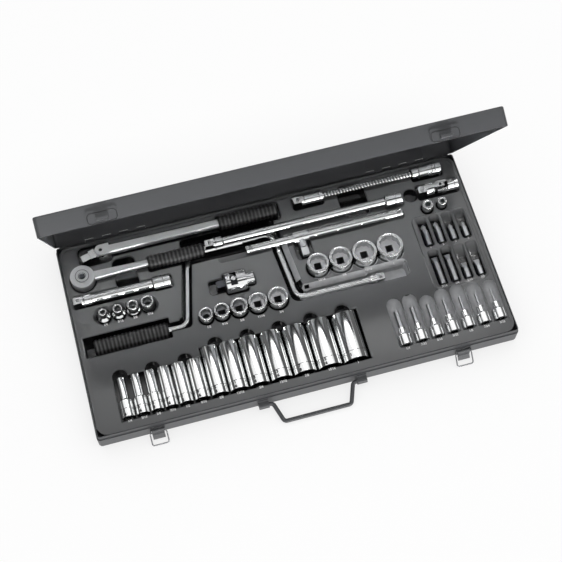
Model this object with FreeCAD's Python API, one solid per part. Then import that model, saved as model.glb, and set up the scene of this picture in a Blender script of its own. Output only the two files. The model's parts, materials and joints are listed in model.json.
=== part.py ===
import FreeCAD, Part
import math
import os

# A 3/8 inch drive socket wrench set lying in a moulded tray inside a hinged sheet-steel case, lid open.
# The origin is the centre of the case's underside. X runs along the case from left to right, Y from the
# latches to the hinges and Z up. Sizes are millimetres and degrees.

V = FreeCAD.Vector
X = V(1, 0, 0)
Y = V(0, 1, 0)
Z = V(0, 0, 1)

# Case: two folded sheet-steel pans, the lid closing over an inset lip of the base
BASE_HEIGHT = 31.0
LID_HEIGHT = 24.0
SHEET = 1.2
LIP_HEIGHT = 8.0
LID_PLAY = 0.3
CASE_CORNER = 5.0
LEFT_GAP = 9.0
RIGHT_GAP = 10.7
FRONT_GAP = 18.5
REAR_GAP = 10.1
SHEET_BEND = 2.0
LID_OPEN = 65.5

# Hinges on the rear wall
HINGE_SPREAD = 394.0
HINGE_LENGTH = 83.0
HINGE_LEAF = 15.0
HINGE_OUT = 3.0
HINGE_PIN_RADIUS = 1.5
KNUCKLE_RADIUS = 2.7
KNUCKLE_GAP = 0.4
KNUCKLES = 7
HINGE_WINDOW = 1.9
HINGE_GROOVE = 0.4
HINGE_GROOVE_WIDTH = 1.0
HINGE_GROOVE_CORNER = 5.0
PIN_PLAY = 0.06

# Draw latches on the front wall and their catches on the lid
LATCH_SPREAD = 407.0
LATCH_PLATE_WIDTH = 19.0
LATCH_PLATE_HEIGHT = 17.0
LATCH_PLATE = 1.0
LATCH_EAR = 1.0
LATCH_EAR_RADIUS = 2.2
LEVER_WIDTH = 16.0
LEVER_SHEET = 1.2
LEVER_REACH = 14.5
LEVER_FLARE = 4.5
LEVER_KNUCKLE = 2.0
LEVER_HINGE_DROP = 4.0
LEVER_OUT = 3.4
LATCH_PIN_RADIUS = 1.0
LOOP_WIRE = 0.9
LOOP_LENGTH = 17.0
LOOP_DROP = 7.0
LOOP_SIDE_GAP = 0.35
LOOP_BEND = 2.6
LOOP_OPEN = 51.0
LOOP_SIDES = 8
PAD_LENGTH = 37.0
PAD_HEIGHT = 15.0
PAD_OUT = 1.4
PAD_CORNER = 4.0
CATCH_WIDTH = 15.0
CATCH_SHEET = 1.2
CATCH_OUT = 5.2
CATCH_LIP = 3.4
CATCH_RISE = 3.2
CATCH_BACK = 7.0

# Carry handle: a wire bail in two brackets on the front wall
HANDLE_WIRE = 2.75
HANDLE_REACH = 26.0
HANDLE_GRIP = 89.0
HANDLE_BEND = 5.0
HANDLE_HEIGHT = 11.0
HANDLE_OUT = 4.6
HANDLE_DROOP = 17.5
HANDLE_PLAY = 0.08
BRACKET_SPREAD = 130.5
BRACKET_WIDTH = 13.5
BRACKET_HEIGHT = 19.0
BRACKET_PLATE = 1.2
BRACKET_WALL = 1.6

# Tray: one thin moulded sheet with a pocket for every tool
TRAY_WALL = 1.4
TRAY_DROP = 2.0
TRAY_PLAY = 0.6
TRAY_CORNER = 14.0
TRAY_BEAD_WIDTH = 4.0
TRAY_BEAD_RISE = 0.9
POCKET_MOUTH = 1.5
POCKET_CORNER = 4.0
POCKET_OVER = 1.5
PANEL_RISE = 1.6
PANEL_SIDE = 4.5
PANEL_LEFT = 8.0
PANEL_CORNER = 10.0
SEAT = 0.4
SIDE = 1.5
GRIP_SIDE = 3.0

# Square drive shared by every tool, and female ends
SQUARE = 9.5
SQUARE_PLAY = 0.1
SQUARE_LENGTH = 12.0
SQUARE_CHAMFER = 1.0
FEMALE_RADIUS = 8.6
FEMALE_LENGTH = 22.0

# Ribbed plastic grips
RIB_DEPTH = 0.9
GRIP_TAPER = 1.4

# Breaker bar with a pivoting drive head
BREAKER_PIN_X = -221.0
BREAKER_Y = 116.0
BREAKER_Z = 31.5
BREAKER_SHANK_LENGTH = 161.0
BREAKER_ROOT_RADIUS = 7.0
BREAKER_FLAT = 5.0
BREAKER_NECK_RADIUS = 6.0
BREAKER_TANG_RADIUS = 5.0
BREAKER_TANG_LENGTH = 70.0
BREAKER_GRIP_LENGTH = 82.0
BREAKER_GRIP_RADIUS = 10.0
BREAKER_RIBS = 15
FORK_WIDTH = 15.0
FORK_LENGTH = 12.0
ROOT_BITE = 1.0
TONGUE = 5.8
TONGUE_PLAY = 0.2
BREAKER_PIN_RADIUS = 2.5
BREAKER_PIN_SINK = 1.5
HEAD_SHOULDER = 12.4
HEAD_SHOULDER_LENGTH = 8.0
HEAD_CLEAR = 0.6
BREAKER_FLEX = 14.0
BREAKER_SWING = 18.0

# Ratchet
RATCHET_X = -252.0
RATCHET_Y = 82.5
RATCHET_Z = 34.0
RATCHET_HEAD_RADIUS = 16.0
RATCHET_HEAD_HEIGHT = 15.0
RATCHET_GRIP_START = 87.5
RATCHET_ROOT_RADIUS = 6.5
RATCHET_FLAT = 4.2
RATCHET_NECK_RADIUS = 4.8
RATCHET_TANG_RADIUS = 4.4
RATCHET_TANG_LENGTH = 66.0
RATCHET_GRIP_LENGTH = 77.0
RATCHET_GRIP_RADIUS = 9.5
RATCHET_RIBS = 14
GEAR_RADIUS = 11.3
GEAR_TOOTH = 1.0
GEAR_TEETH = 24
GEAR_PLAY = 0.5
GEAR_HUB_RADIUS = 8.0
COVER_RADIUS = 13.3
COVER_THICKNESS = 1.9
COVER_FIT = 0.06
HEAD_ROOF = 3.1
DIAL_RADIUS = 9.0
DIAL_RISE = 0.7
DIAL_TAB = 1.2
DIAL_PLAY = 0.1
BUTTON_RADIUS = 3.75
BUTTON_TRAVEL = 3.0
PAWL_LENGTH = 7.6
PAWL_THICKNESS = 2.1
PAWL_TILT = 6.0
PAWL_POCKET = 9.0

# Extension bars
SHORT_X = -271.0
SHORT_Y = 52.3
SHORT_Z = 31.5
SHORT_LENGTH = 129.5
SHORT_RADIUS = 6.0
LONG_X = -85.0
LONG_Y = 87.5
LONG_Z = 34.5
LONG_LENGTH = 273.5
LONG_RADIUS = 5.5
COLLAR_RADIUS = 7.2
COLLAR_LENGTH = 13.0
COLLAR_TAPER = 2.0

# Sliding tee handle
TEE_X = -34.3
TEE_Y = 67.0
TEE_Z = 32.0
TEE_LENGTH = 219.0
TEE_RADIUS = 5.5
TEE_GROOVE = 1.2
TEE_KNOB = 6.0
TEE_HEAD_X = 41.7
TEE_HUB_RADIUS = 8.5
TEE_HUB_LENGTH = 20.0
TEE_NECK_RADIUS = 6.2
TEE_NECK_LENGTH = 17.0
TEE_PLAY = 0.06
TEE_SLIDE = 36.0

# Speed brace: a bent rod with a turning end grip and a turning sleeve on its crank
BRACE_Y = -12.6
BRACE_Z = 18.5
BRACE_ROD = 5.0
BRACE_BEND = 13.0
BRACE_GRIP_START = -258.0
BRACE_GRIP_LENGTH = 99.0
BRACE_GRIP_RADIUS = 11.5
BRACE_GRIP_RIBS = 19
BRACE_GRIP_BORE_END = 9.0
BRACE_LEFT_X = -133.6
BRACE_CRANK_LEFT_X = -110.5
BRACE_CRANK_RIGHT_X = 6.4
BRACE_RIGHT_X = 15.0
BRACE_CRANK_Y = 88.0
BRACE_DRIVE_X = 124.0
BRACE_COLLAR_RADIUS = 7.0
BRACE_COLLAR_LENGTH = 6.0
BRACE_END_POCKET = 30.0
SLEEVE_RADIUS = 7.0
SLEEVE_LENGTH = 72.0
TURN_PLAY = 0.06
CHANNEL_WIDTH = 40.0
BRACE_SLOPE = 5.0

# Flexible extension
FLEX_X = 45.8
FLEX_Y = 119.3
FLEX_Z = 33.0
FLEX_COLLAR_LENGTH = 28.0
FLEX_COLLAR_RADIUS = 7.0
FLEX_COIL_LENGTH = 128.0
FLEX_COIL_RADIUS = 4.6
FLEX_WIRE = 2.2
FLEX_TURNS = 24
FLEX_SAMPLES = 16
FLEX_CORE_GAP = 0.3
FLEX_BITE = 0.4
FLEX_FERRULE_LENGTH = 22.0
FLEX_FERRULE_RADIUS = 7.4
FLEX_SOCKET_LENGTH = 18.0

# Universal joint
JOINT_AFTER = 25.5
JOINT_Y = 90.5
JOINT_Z = 33.0
JOINT_RADIUS = 8.5
JOINT_CENTRE = 31.0
JOINT_BODY = 9.0
JOINT_FEMALE_END = 55.3
JOINT_BLOCK = 8.6
JOINT_EAR_PLAY = 0.25
JOINT_EAR_REACH = 5.2
JOINT_EAR_EASE = 0.7
JOINT_PIN_RADIUS = 1.9
JOINT_SWING = 9.0

# Ratchet adaptor
ADAPTOR_X = -84.5
ADAPTOR_Y = 27.0
ADAPTOR_Z = 30.0
ADAPTOR_RADIUS = 14.5
ADAPTOR_LENGTH = 28.0
ADAPTOR_WALL = 2.6
ADAPTOR_RING = 1.0
ADAPTOR_BOSS_LENGTH = 10.5
ADAPTOR_BOSS_RADIUS = 8.6
ADAPTOR_WINDOW = 9.0
ADAPTOR_LEVER_RADIUS = 3.2
ADAPTOR_ROTOR_PLAY = 0.3

# Sockets: openings step by a sixteenth of an inch, and the wall grows with the opening
INCH = 25.4
SIZE_STEP = INCH / 16
OUTER_PER_SIZE = 1.3
OUTER_EXTRA = 2.0
DRIVE_RADIUS = 8.6
DRIVE_LENGTH = 11.0
OPENING_DEPTH = 12.0
SMALL_SIZES = (4, 5, 6, 7)
SMALL_X = -236.7
SMALL_Y = 25.6
SMALL_PITCH = 19.8
SMALL_HEIGHT = 26.0
SMALL_TOP = 41.5
SMALL_FLARE = 4.0
MEDIUM_SIZES = (8, 9, 10, 11, 12)
MEDIUM_SPLIT = 3
MEDIUM_X = -107.8
MEDIUM_Y = -12.2
MEDIUM_GAP = 1.5
MEDIUM_HEIGHT = 28.0
MEDIUM_TOP = 42.0
LARGE_SIZES = (13, 14, 15, 16)
LARGE_X = 52.3
LARGE_Y = 19.5
LARGE_GAP = 1.0
LARGE_HEIGHT = 32.0
LARGE_TOP = 43.5
DEEP_SIZES = (4, 5, 6, 7, 8, 9, 10, 11, 12, 13, 14, 15, 16)
DEEP_X = -234.2
DEEP_GAP = 1.33
PASSAGE_SHARE = 0.8
DEEP_DRIVE_Y = -119.5
DEEP_SHORT_LENGTH = 54.0
DEEP_LONG_LENGTH = 66.0
DEEP_SHORT_COUNT = 6
DEEP_GROUP = 3
DEEP_TOP = 37.0
DEEP_COLLAR_LENGTH = 22.0
DEEP_DEPTH = 30.0
SCALLOP_RADIUS = 10.0
SCALLOP_FLOOR = 19.0
SCALLOPS = 8

# Loose bits lying in slots, and the two upright bit holders
BIT_HEX = 8.0
BIT_Z = 27.0
BIT_X = 205.5
BIT_PITCH = 17.6
CROSS_END_Y = 11.2
CROSS_LENGTHS = (31.5, 31.5, 23.5, 23.5)
FLAT_END_Y = -47.4
FLAT_LENGTHS = (40.0, 40.0, 22.5, 22.5)
BIT_TIP = 9.0
CROSS_POINT = 1.0
BLADE_THICKNESS = 1.4
FLUTE_RADIUS = 1.5
BIT_SLOT_WIDTH = 13.0
BIT_SLOT_HEAD = 9.5
BIT_SLOT_FOOT = 2.5
HOLDER_X = (219.4, 239.8)
HOLDER_Y = 65.4
HOLDER_RADII = (7.25, 6.0)
HOLDER_HEX = (8.0, 6.5)
HOLDER_HEIGHT = 25.0
HOLDER_TOP = 40.0

# Bit sockets: a short socket holder with a pressed-in hexagon bit
BIT_SOCKET_X = 132.6
BIT_SOCKET_PITCH = 21.6
BIT_SOCKET_Y = -118.0
BIT_SOCKET_STEP = 0.5
BIT_SOCKET_Z = 29.0
BIT_SOCKET_RADIUS = 8.4
BIT_SOCKET_BODY = 13.0
BIT_SOCKET_LENGTH = 24.0
BIT_SOCKET_NECK = 5.0
BIT_SOCKET_REACHES = (48.5, 48.5, 46.5, 47.0, 45.0, 43.0, 44.0)
BIT_SOCKET_WIDTHS = (6.35, 5.56, 4.76, 3.97, 3.18, 2.78, 2.38)
BIT_SOCKET_INSERT = 9.0
BIT_SLOT_REACHES = (67.5, 68.0, 60.0, 63.0, 63.5, 61.0, 57.5)

# Places that follow from the sizes above: the case is as large as the tools and the gaps round them ask
JOINT_X = LONG_X + LONG_LENGTH + JOINT_AFTER
CASE_LENGTH = 2 * max(LEFT_GAP - SHORT_X, JOINT_X + JOINT_FEMALE_END + RIGHT_GAP)
CASE_DEPTH = 2 * max(FRONT_GAP - DEEP_DRIVE_Y, FLEX_Y + FEMALE_RADIUS + REAR_GAP)
LEDGE = BASE_HEIGHT - LIP_HEIGHT
LIP_INSET = SHEET + LID_PLAY
LID_RIM = LEDGE + LID_PLAY
FRONT = -CASE_DEPTH / 2
REAR = CASE_DEPTH / 2
DECK = BASE_HEIGHT - TRAY_DROP
TRAY_LENGTH = CASE_LENGTH - 2 * (LIP_INSET + SHEET + TRAY_PLAY)
TRAY_DEPTH = CASE_DEPTH - 2 * (LIP_INSET + SHEET + TRAY_PLAY)
HINGE_Y = REAR + HINGE_OUT
HINGE_Z = LEDGE + LID_PLAY / 2
LEVER_Y = FRONT - LEVER_OUT
LEVER_Z = LEDGE - LEVER_HINGE_DROP
LOOP_Z = LEVER_Z - LOOP_DROP
HANDLE_Y = FRONT - HANDLE_OUT
FLEX_COIL_X = FLEX_X + SQUARE_LENGTH + FLEX_COLLAR_LENGTH
FLEX_END_X = FLEX_COIL_X + FLEX_COIL_LENGTH
JOINT_CENTRE_X = JOINT_X + JOINT_CENTRE
SQUARE_BORE = SQUARE + 2 * SQUARE_PLAY

wells = []
cups = []


def box(x0, x1, y0, y1, z0, z1):
    """A block between two corners."""
    return Part.makeBox(x1 - x0, y1 - y0, z1 - z0, V(x0, y0, z0))


def rod(start, along, radius, length):
    """A plain cylinder from start."""
    return Part.makeCylinder(radius, length, start, along)


def ring(start, along, outer, inner, length):
    """A plain tube from start."""
    return rod(start, along, outer, length).cut(rod(start, along, inner, length))


def at(shape, start, along):
    """The shape with its own X axis laid along a direction from start."""
    shape.Placement = FreeCAD.Placement(start, FreeCAD.Rotation(X, along))
    return shape


def turned(profile, start, along):
    """A solid turned from pairs of distance along the axis and radius."""
    points = [V(profile[0][0], 0, 0)]
    points += [V(a, r, 0) for a, r in profile]
    points += [V(profile[-1][0], 0, 0), points[0]]
    return at(Part.Face(Part.makePolygon(points)).revolve(V(), X, 360), start, along)


def polygon_bar(corners, length, start, along, spin=0.0):
    """A prism whose outline is a list of polar corners, radius and angle, round its axis."""
    points = []
    for radius, angle in corners:
        turn = math.radians(angle + spin)
        points.append(V(0, radius * math.cos(turn), radius * math.sin(turn)))
    face = Part.Face(Part.makePolygon(points + points[:1]))
    return at(face.extrude(V(length, 0, 0)), start, along)


def square_bar(side, length, start, along):
    """A square bar round its axis."""
    corners = [(side / math.sqrt(2), 45 + 90 * k) for k in range(4)]
    return polygon_bar(corners, length, start, along)


def hexagon_bar(width, length, start, along):
    """A hexagon bar of a width across flats."""
    corners = [(width / math.sqrt(3), 60 * k) for k in range(6)]
    return polygon_bar(corners, length, start, along)


def star_bar(width, length, start, along):
    """A twelve-point opening of a width across flats."""
    outer = width / math.sqrt(3)
    inner = width / 2 / math.cos(math.radians(15))
    corners = [(outer if k % 2 == 0 else inner, 15 * k) for k in range(24)]
    return polygon_bar(corners, length, start, along)


def rounded(length, width, radius, z):
    """A rectangle with rounded or sharp corners, centred on the origin at a height."""
    a = length / 2 - radius
    b = width / 2 - radius
    if radius == 0:
        corners = [V(a, b, z), V(-a, b, z), V(-a, -b, z), V(a, -b, z)]
        return Part.makePolygon(corners + corners[:1])
    edges = []
    spots = []
    for quarter, (cx, cy) in enumerate(((a, b), (-a, b), (-a, -b), (a, -b))):
        start, middle, end = [
            V(cx + radius * math.cos(t), cy + radius * math.sin(t), z)
            for t in (math.pi / 2 * (quarter + share) for share in (0, 0.5, 1))
        ]
        spots.append((start, end))
        edges.append(Part.Arc(start, middle, end).toShape())
    for quarter in range(4):
        end, start = spots[quarter][1], spots[(quarter + 1) % 4][0]
        if end.distanceToPoint(start) > 1e-6:
            edges.append(Part.makeLine(end, start))
    return Part.Wire(Part.__sortEdges__(edges))


def slab(length, width, radius, low, high):
    """A rounded rectangle between two heights."""
    return Part.Face(rounded(length, width, radius, low)).extrude(V(0, 0, high - low))


def turned_round(shape, point, axis, angle):
    """The shape turned about a line."""
    return shape.rotated(point, axis, angle)


def edges_at(shape, z):
    """The edges that lie at one height."""
    return [e for e in shape.Edges if all(abs(v.Z - z) < 1e-6 for v in e.Vertexes)]


def bent_wire(points, bend, radius, sides=0):
    """A wire, round or of many sides, along straight runs joined by tangent arcs."""
    edges = []
    last = points[0]
    for before, corner, after in zip(points, points[1:], points[2:]):
        arrive = (corner - before).normalize()
        leave = (after - corner).normalize()
        turn = arrive.getAngle(leave)
        cut = bend * math.tan(turn / 2)
        start = corner - arrive * cut
        end = corner + leave * cut
        inward = (leave - arrive).normalize()
        middle = corner + inward * (bend / math.cos(turn / 2) - bend)
        edges.append(Part.makeLine(last, start))
        edges.append(Part.Arc(start, middle, end).toShape())
        last = end
    edges.append(Part.makeLine(last, points[-1]))
    circle = Part.makeCircle(radius, points[0], points[1] - points[0])
    section = Part.Wire(circle)
    if sides:
        corners = circle.discretize(sides + 1)
        section = Part.makePolygon(corners[:-1] + corners[:1])
    return Part.Wire(edges).makePipeShell([section], True, False)


def ribbed_grip(start, along, length, radius, ribs, bore, bore_length):
    """A turned grip with ring ribs, blind-bored from its start."""
    pitch = (length - 2 * GRIP_TAPER) / ribs
    profile = [(0, radius - GRIP_TAPER)]
    for k in range(ribs):
        profile.append((GRIP_TAPER + k * pitch, radius - RIB_DEPTH))
        profile.append((GRIP_TAPER + (k + 0.5) * pitch, radius))
    profile.append((length - GRIP_TAPER, radius - RIB_DEPTH))
    profile.append((length, radius - GRIP_TAPER - RIB_DEPTH))
    return turned(profile, start, along).cut(rod(start, along, bore, bore_length))


def flats(start, length, low, high):
    """The blocks that are milled off a bar along X to leave flats above and below its axis."""
    return [
        box(start.x, start.x + length, start.y - high, start.y + high, start.z + low, start.z + high),
        box(start.x, start.x + length, start.y - high, start.y + high, start.z - high, start.z - low),
    ]


def male_square(tip, along):
    """The drive square with its chamfered tip, from its tip inwards."""
    lead = turned(
        [(0, SQUARE / math.sqrt(2) - SQUARE_CHAMFER), (SQUARE_CHAMFER, SQUARE / math.sqrt(2))],
        tip,
        along,
    )
    tail = rod(tip + along * SQUARE_CHAMFER, along, SQUARE, SQUARE_LENGTH - SQUARE_CHAMFER)
    return square_bar(SQUARE, SQUARE_LENGTH, tip, along).common(lead.fuse(tail))


def female_bore(mouth, along):
    """The space of a square drive hole, from its mouth inwards."""
    return square_bar(SQUARE_BORE, SQUARE_LENGTH, mouth, along)


def sink(
    x, y, length, width, floor, corner=POCKET_CORNER, turn=0.0, mouth=POCKET_MOUTH, slope=0.0, ramp=0.0, deck=DECK
):
    """A pocket of the tray down to its floor, and its cup below.

    Its mouth is bevelled, more on its rear side by a slope, and a ramp lifts its floor towards the rear.
    """
    radius = min(corner, length / 2, (width - ramp) / 2)
    mouth = min(mouth, (deck - floor) / 2)
    over = mouth + POCKET_OVER
    foot = rounded(length, width - ramp, radius, floor)
    foot.translate(V(0, -ramp / 2, 0))
    wide = width + 2 * over + slope
    rim_radius = wide / 2 if radius == width / 2 else radius and radius + over
    rim = rounded(length + 2 * over, wide, rim_radius, deck + POCKET_OVER)
    rim.translate(V(0, slope / 2, 0))
    well = Part.makeLoft([foot, rounded(length, width, radius, deck - mouth - slope), rim], True, True)
    half_x = length / 2 + TRAY_WALL
    half_y = width / 2 + TRAY_WALL
    cup = box(-half_x, half_x, -half_y, half_y, floor - TRAY_WALL, DECK - TRAY_WALL / 2)
    for shape, group in ((well, wells), (cup, cups)):
        shape.rotate(V(), Z, turn)
        shape.translate(V(x, y, 0))
        group.append(shape)


def sink_along(x0, x1, y, half_width, floor, corner=POCKET_CORNER, slope=0.0):
    """A pocket along X between two ends."""
    sink((x0 + x1) / 2, y, x1 - x0, 2 * half_width, floor, corner, slope=slope)


def sink_run(start, end, half_width, floor, slope=0.0):
    """A pocket with round ends along a slanted run."""
    run = end - start
    angle = math.degrees(math.atan2(run.y, run.x))
    middle = (start + end) * 0.5
    length = run.Length + 2 * half_width
    sink(middle.x, middle.y, length, 2 * half_width, floor, half_width, angle, slope=slope)


def sink_bullet(start, length, radius):
    """A bullet-shaped pocket along Y, flat at its start and round at its far end, and its cup below."""
    tip = V(length - radius, 0, 0)
    nose = Part.Arc(tip + Y * radius, tip + V(radius, radius, 0) * math.sqrt(0.5), tip + X * radius)
    sides = [
        Part.makeLine(V(), Y * radius),
        Part.makeLine(Y * radius, tip + Y * radius),
        nose.toShape(),
        Part.makeLine(tip + X * radius, V()),
    ]
    wells.append(at(Part.Face(Part.Wire(sides)).revolve(V(), X, 360), start, Y))
    half = radius + TRAY_WALL
    low = start.y - TRAY_WALL
    high = start.y + length + TRAY_WALL
    floor = start.z - radius - TRAY_WALL
    cups.append(box(start.x - half, start.x + half, low, high, floor, DECK - TRAY_WALL / 2))


def make_case_base():
    """The base pan with its inset lip."""
    outer = slab(CASE_LENGTH, CASE_DEPTH, CASE_CORNER, 0, LEDGE)
    outer = outer.makeFillet(SHEET_BEND, edges_at(outer, 0))
    lip = slab(
        CASE_LENGTH - 2 * LIP_INSET,
        CASE_DEPTH - 2 * LIP_INSET,
        CASE_CORNER - LIP_INSET,
        LEDGE - SHEET,
        BASE_HEIGHT,
    )
    low = slab(
        CASE_LENGTH - 2 * SHEET, CASE_DEPTH - 2 * SHEET, CASE_CORNER - SHEET, SHEET, LEDGE - SHEET
    )
    low = low.makeFillet(SHEET_BEND - SHEET, edges_at(low, SHEET))
    inset = LIP_INSET + SHEET
    high = slab(
        CASE_LENGTH - 2 * inset,
        CASE_DEPTH - 2 * inset,
        CASE_CORNER - inset,
        LEDGE - 2 * SHEET,
        BASE_HEIGHT + SHEET,
    )
    return [outer.fuse(lip).cut([low, high]).removeSplitter()]


def pad(x, out):
    """A pressed pad of the lid's front wall, its face standing out by a distance, in the closed lid."""
    low = LID_RIM + SHEET
    shape = box(
        x - PAD_LENGTH / 2, x + PAD_LENGTH / 2, FRONT - out, FRONT + SHEET, low, low + PAD_HEIGHT
    )
    corners = [e for e in shape.Edges if abs(e.tangentAt(e.FirstParameter).y) > 0.9]
    return shape.makeFillet(PAD_CORNER, corners)


def pad_hollow(x):
    """The hollow behind a pressed pad."""
    low = LID_RIM + 2 * SHEET
    shape = box(
        x - PAD_LENGTH / 2 + SHEET,
        x + PAD_LENGTH / 2 - SHEET,
        FRONT - PAD_OUT + SHEET,
        FRONT + 2 * SHEET,
        low,
        low + PAD_HEIGHT - 2 * SHEET,
    )
    corners = [e for e in shape.Edges if abs(e.tangentAt(e.FirstParameter).y) > 0.9]
    return shape.makeFillet(PAD_CORNER - SHEET, corners)


def opened(shape):
    """A piece of the closed lid turned to where the lid stands."""
    return turned_round(shape, V(0, HINGE_Y, HINGE_Z), X, -LID_OPEN)


def hinge_windows():
    """The openings of the closed lid's rear wall that the base's knuckles turn in."""
    piece = HINGE_LENGTH / KNUCKLES
    windows = []
    for x in (-HINGE_SPREAD / 2, HINGE_SPREAD / 2):
        for k in range(0, KNUCKLES, 2):
            x0 = x - HINGE_LENGTH / 2 + k * piece + KNUCKLE_GAP / 2
            top = HINGE_Z + KNUCKLE_RADIUS + HINGE_WINDOW
            windows.append(box(x0, x0 + piece - KNUCKLE_GAP, REAR - 2 * SHEET, REAR + 2 * SHEET, LEDGE, top))
    return windows


def hinge_groove(x):
    """The line pressed round a hinge's place on the inside of the closed lid's rear wall."""
    height = 2 * (HINGE_LEAF + KNUCKLE_RADIUS)
    outer = slab(HINGE_LENGTH, height, HINGE_GROOVE_CORNER, 0, 2 * HINGE_GROOVE)
    width = 2 * HINGE_GROOVE_WIDTH
    inner = slab(HINGE_LENGTH - width, height - width, HINGE_GROOVE_CORNER - width / 2, 0, 2 * HINGE_GROOVE)
    groove = outer.cut(inner)
    groove.rotate(V(), X, -90)
    groove.translate(V(x, REAR - SHEET - HINGE_GROOVE, LID_RIM))
    return groove


def make_case_lid():
    """The lid pan with two pressed pads for its catches and windows for the hinges' knuckles."""
    top = LID_RIM + LID_HEIGHT
    outer = slab(CASE_LENGTH, CASE_DEPTH, CASE_CORNER, LID_RIM, top)
    outer = outer.makeFillet(SHEET_BEND, edges_at(outer, top))
    inner = slab(
        CASE_LENGTH - 2 * SHEET, CASE_DEPTH - 2 * SHEET, CASE_CORNER - SHEET, LID_RIM - SHEET, top - SHEET
    )
    inner = inner.makeFillet(SHEET_BEND - SHEET, edges_at(inner, top - SHEET))
    sides = (-LATCH_SPREAD / 2, LATCH_SPREAD / 2)
    lid = outer.cut(inner).fuse([pad(x, PAD_OUT) for x in sides])
    hollows = [pad_hollow(x) for x in sides]
    grooves = [hinge_groove(x) for x in (-HINGE_SPREAD / 2, HINGE_SPREAD / 2)]
    lid = lid.cut(hollows + grooves + hinge_windows()).removeSplitter()
    return [opened(lid)]


def make_lid_catches():
    """Two hooks on the pads that the latch loops pull on."""
    catches = []
    face = FRONT - PAD_OUT
    low = LID_RIM + CATCH_RISE
    for x in (-LATCH_SPREAD / 2, LATCH_SPREAD / 2):
        x0 = x - CATCH_WIDTH / 2
        x1 = x + CATCH_WIDTH / 2
        back = box(x0, x1, face - CATCH_SHEET, face, low, low + CATCH_BACK)
        tongue = box(x0, x1, face - CATCH_OUT, face, low, low + CATCH_SHEET)
        lip = box(x0, x1, face - CATCH_OUT, face - CATCH_OUT + CATCH_SHEET, low, low + CATCH_LIP)
        catches.append(opened(back.fuse([tongue, lip]).removeSplitter()))
    return catches


def make_hinges():
    """Leaves with interleaved knuckles on the base and the lid, and their pins."""
    axis_point = V(0, HINGE_Y, HINGE_Z)
    piece = HINGE_LENGTH / KNUCKLES
    base_leaves, lid_leaves, pins = [], [], []
    for x in (-HINGE_SPREAD / 2, HINGE_SPREAD / 2):
        left = x - HINGE_LENGTH / 2
        clear = HINGE_Z - KNUCKLE_RADIUS - KNUCKLE_GAP
        base = [box(left, left + HINGE_LENGTH, REAR, REAR + SHEET, clear - HINGE_LEAF, clear)]
        clear = HINGE_Z + KNUCKLE_RADIUS + KNUCKLE_GAP
        lid = [box(left, left + HINGE_LENGTH, REAR, REAR + SHEET, clear, clear + HINGE_LEAF)]
        for k in range(KNUCKLES):
            x0 = left + k * piece + KNUCKLE_GAP / 2
            length = piece - KNUCKLE_GAP
            knuckle = rod(V(x0, HINGE_Y, HINGE_Z), X, KNUCKLE_RADIUS, length)
            if k % 2 == 0:
                web = box(
                    x0, x0 + length, REAR, HINGE_Y, HINGE_Z - KNUCKLE_RADIUS - KNUCKLE_GAP, HINGE_Z - SHEET
                )
                base += [knuckle, web]
            else:
                web = box(
                    x0, x0 + length, REAR, HINGE_Y, HINGE_Z + SHEET, HINGE_Z + KNUCKLE_RADIUS + KNUCKLE_GAP
                )
                lid += [knuckle, web]
        bore = rod(V(left, HINGE_Y, HINGE_Z), X, HINGE_PIN_RADIUS, HINGE_LENGTH)
        loose = rod(V(left, HINGE_Y, HINGE_Z), X, HINGE_PIN_RADIUS + PIN_PLAY, HINGE_LENGTH)
        base_leaves.append(base[0].fuse(base[1:]).cut(bore).removeSplitter())
        lid_leaves.append(opened(lid[0].fuse(lid[1:]).cut([loose] + hinge_windows()).removeSplitter()))
        pins.append(rod(axis_point + V(left, 0, 0), X, HINGE_PIN_RADIUS, HINGE_LENGTH))
    return base_leaves, lid_leaves, pins


def make_latch_plate(x):
    """The plate of a latch with two ears that carry the lever's pin."""
    half = LATCH_PLATE_WIDTH / 2
    plate = box(
        x - half, x + half, FRONT - LATCH_PLATE, FRONT, LEDGE - LATCH_PLATE_HEIGHT - LID_PLAY, LEDGE - LID_PLAY
    )
    ears = []
    for side in (-1, 1):
        inner = x + side * half
        x0 = min(inner, inner - side * LATCH_EAR)
        web = box(
            x0, x0 + LATCH_EAR, LEVER_Y, FRONT, LEVER_Z - LATCH_EAR_RADIUS, LEVER_Z + LATCH_EAR_RADIUS
        )
        nose = rod(V(x0, LEVER_Y, LEVER_Z), X, LATCH_EAR_RADIUS, LATCH_EAR)
        ears += [web, nose]
    hole = rod(V(x - half, LEVER_Y, LEVER_Z), X, LATCH_PIN_RADIUS, LATCH_PLATE_WIDTH)
    return plate.fuse(ears).cut(hole).removeSplitter()


def make_latch_pin(x):
    """The pin that a lever swings on, held in the plate's ears."""
    return rod(V(x - LATCH_PLATE_WIDTH / 2, LEVER_Y, LEVER_Z), X, LATCH_PIN_RADIUS, LATCH_PLATE_WIDTH)


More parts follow.
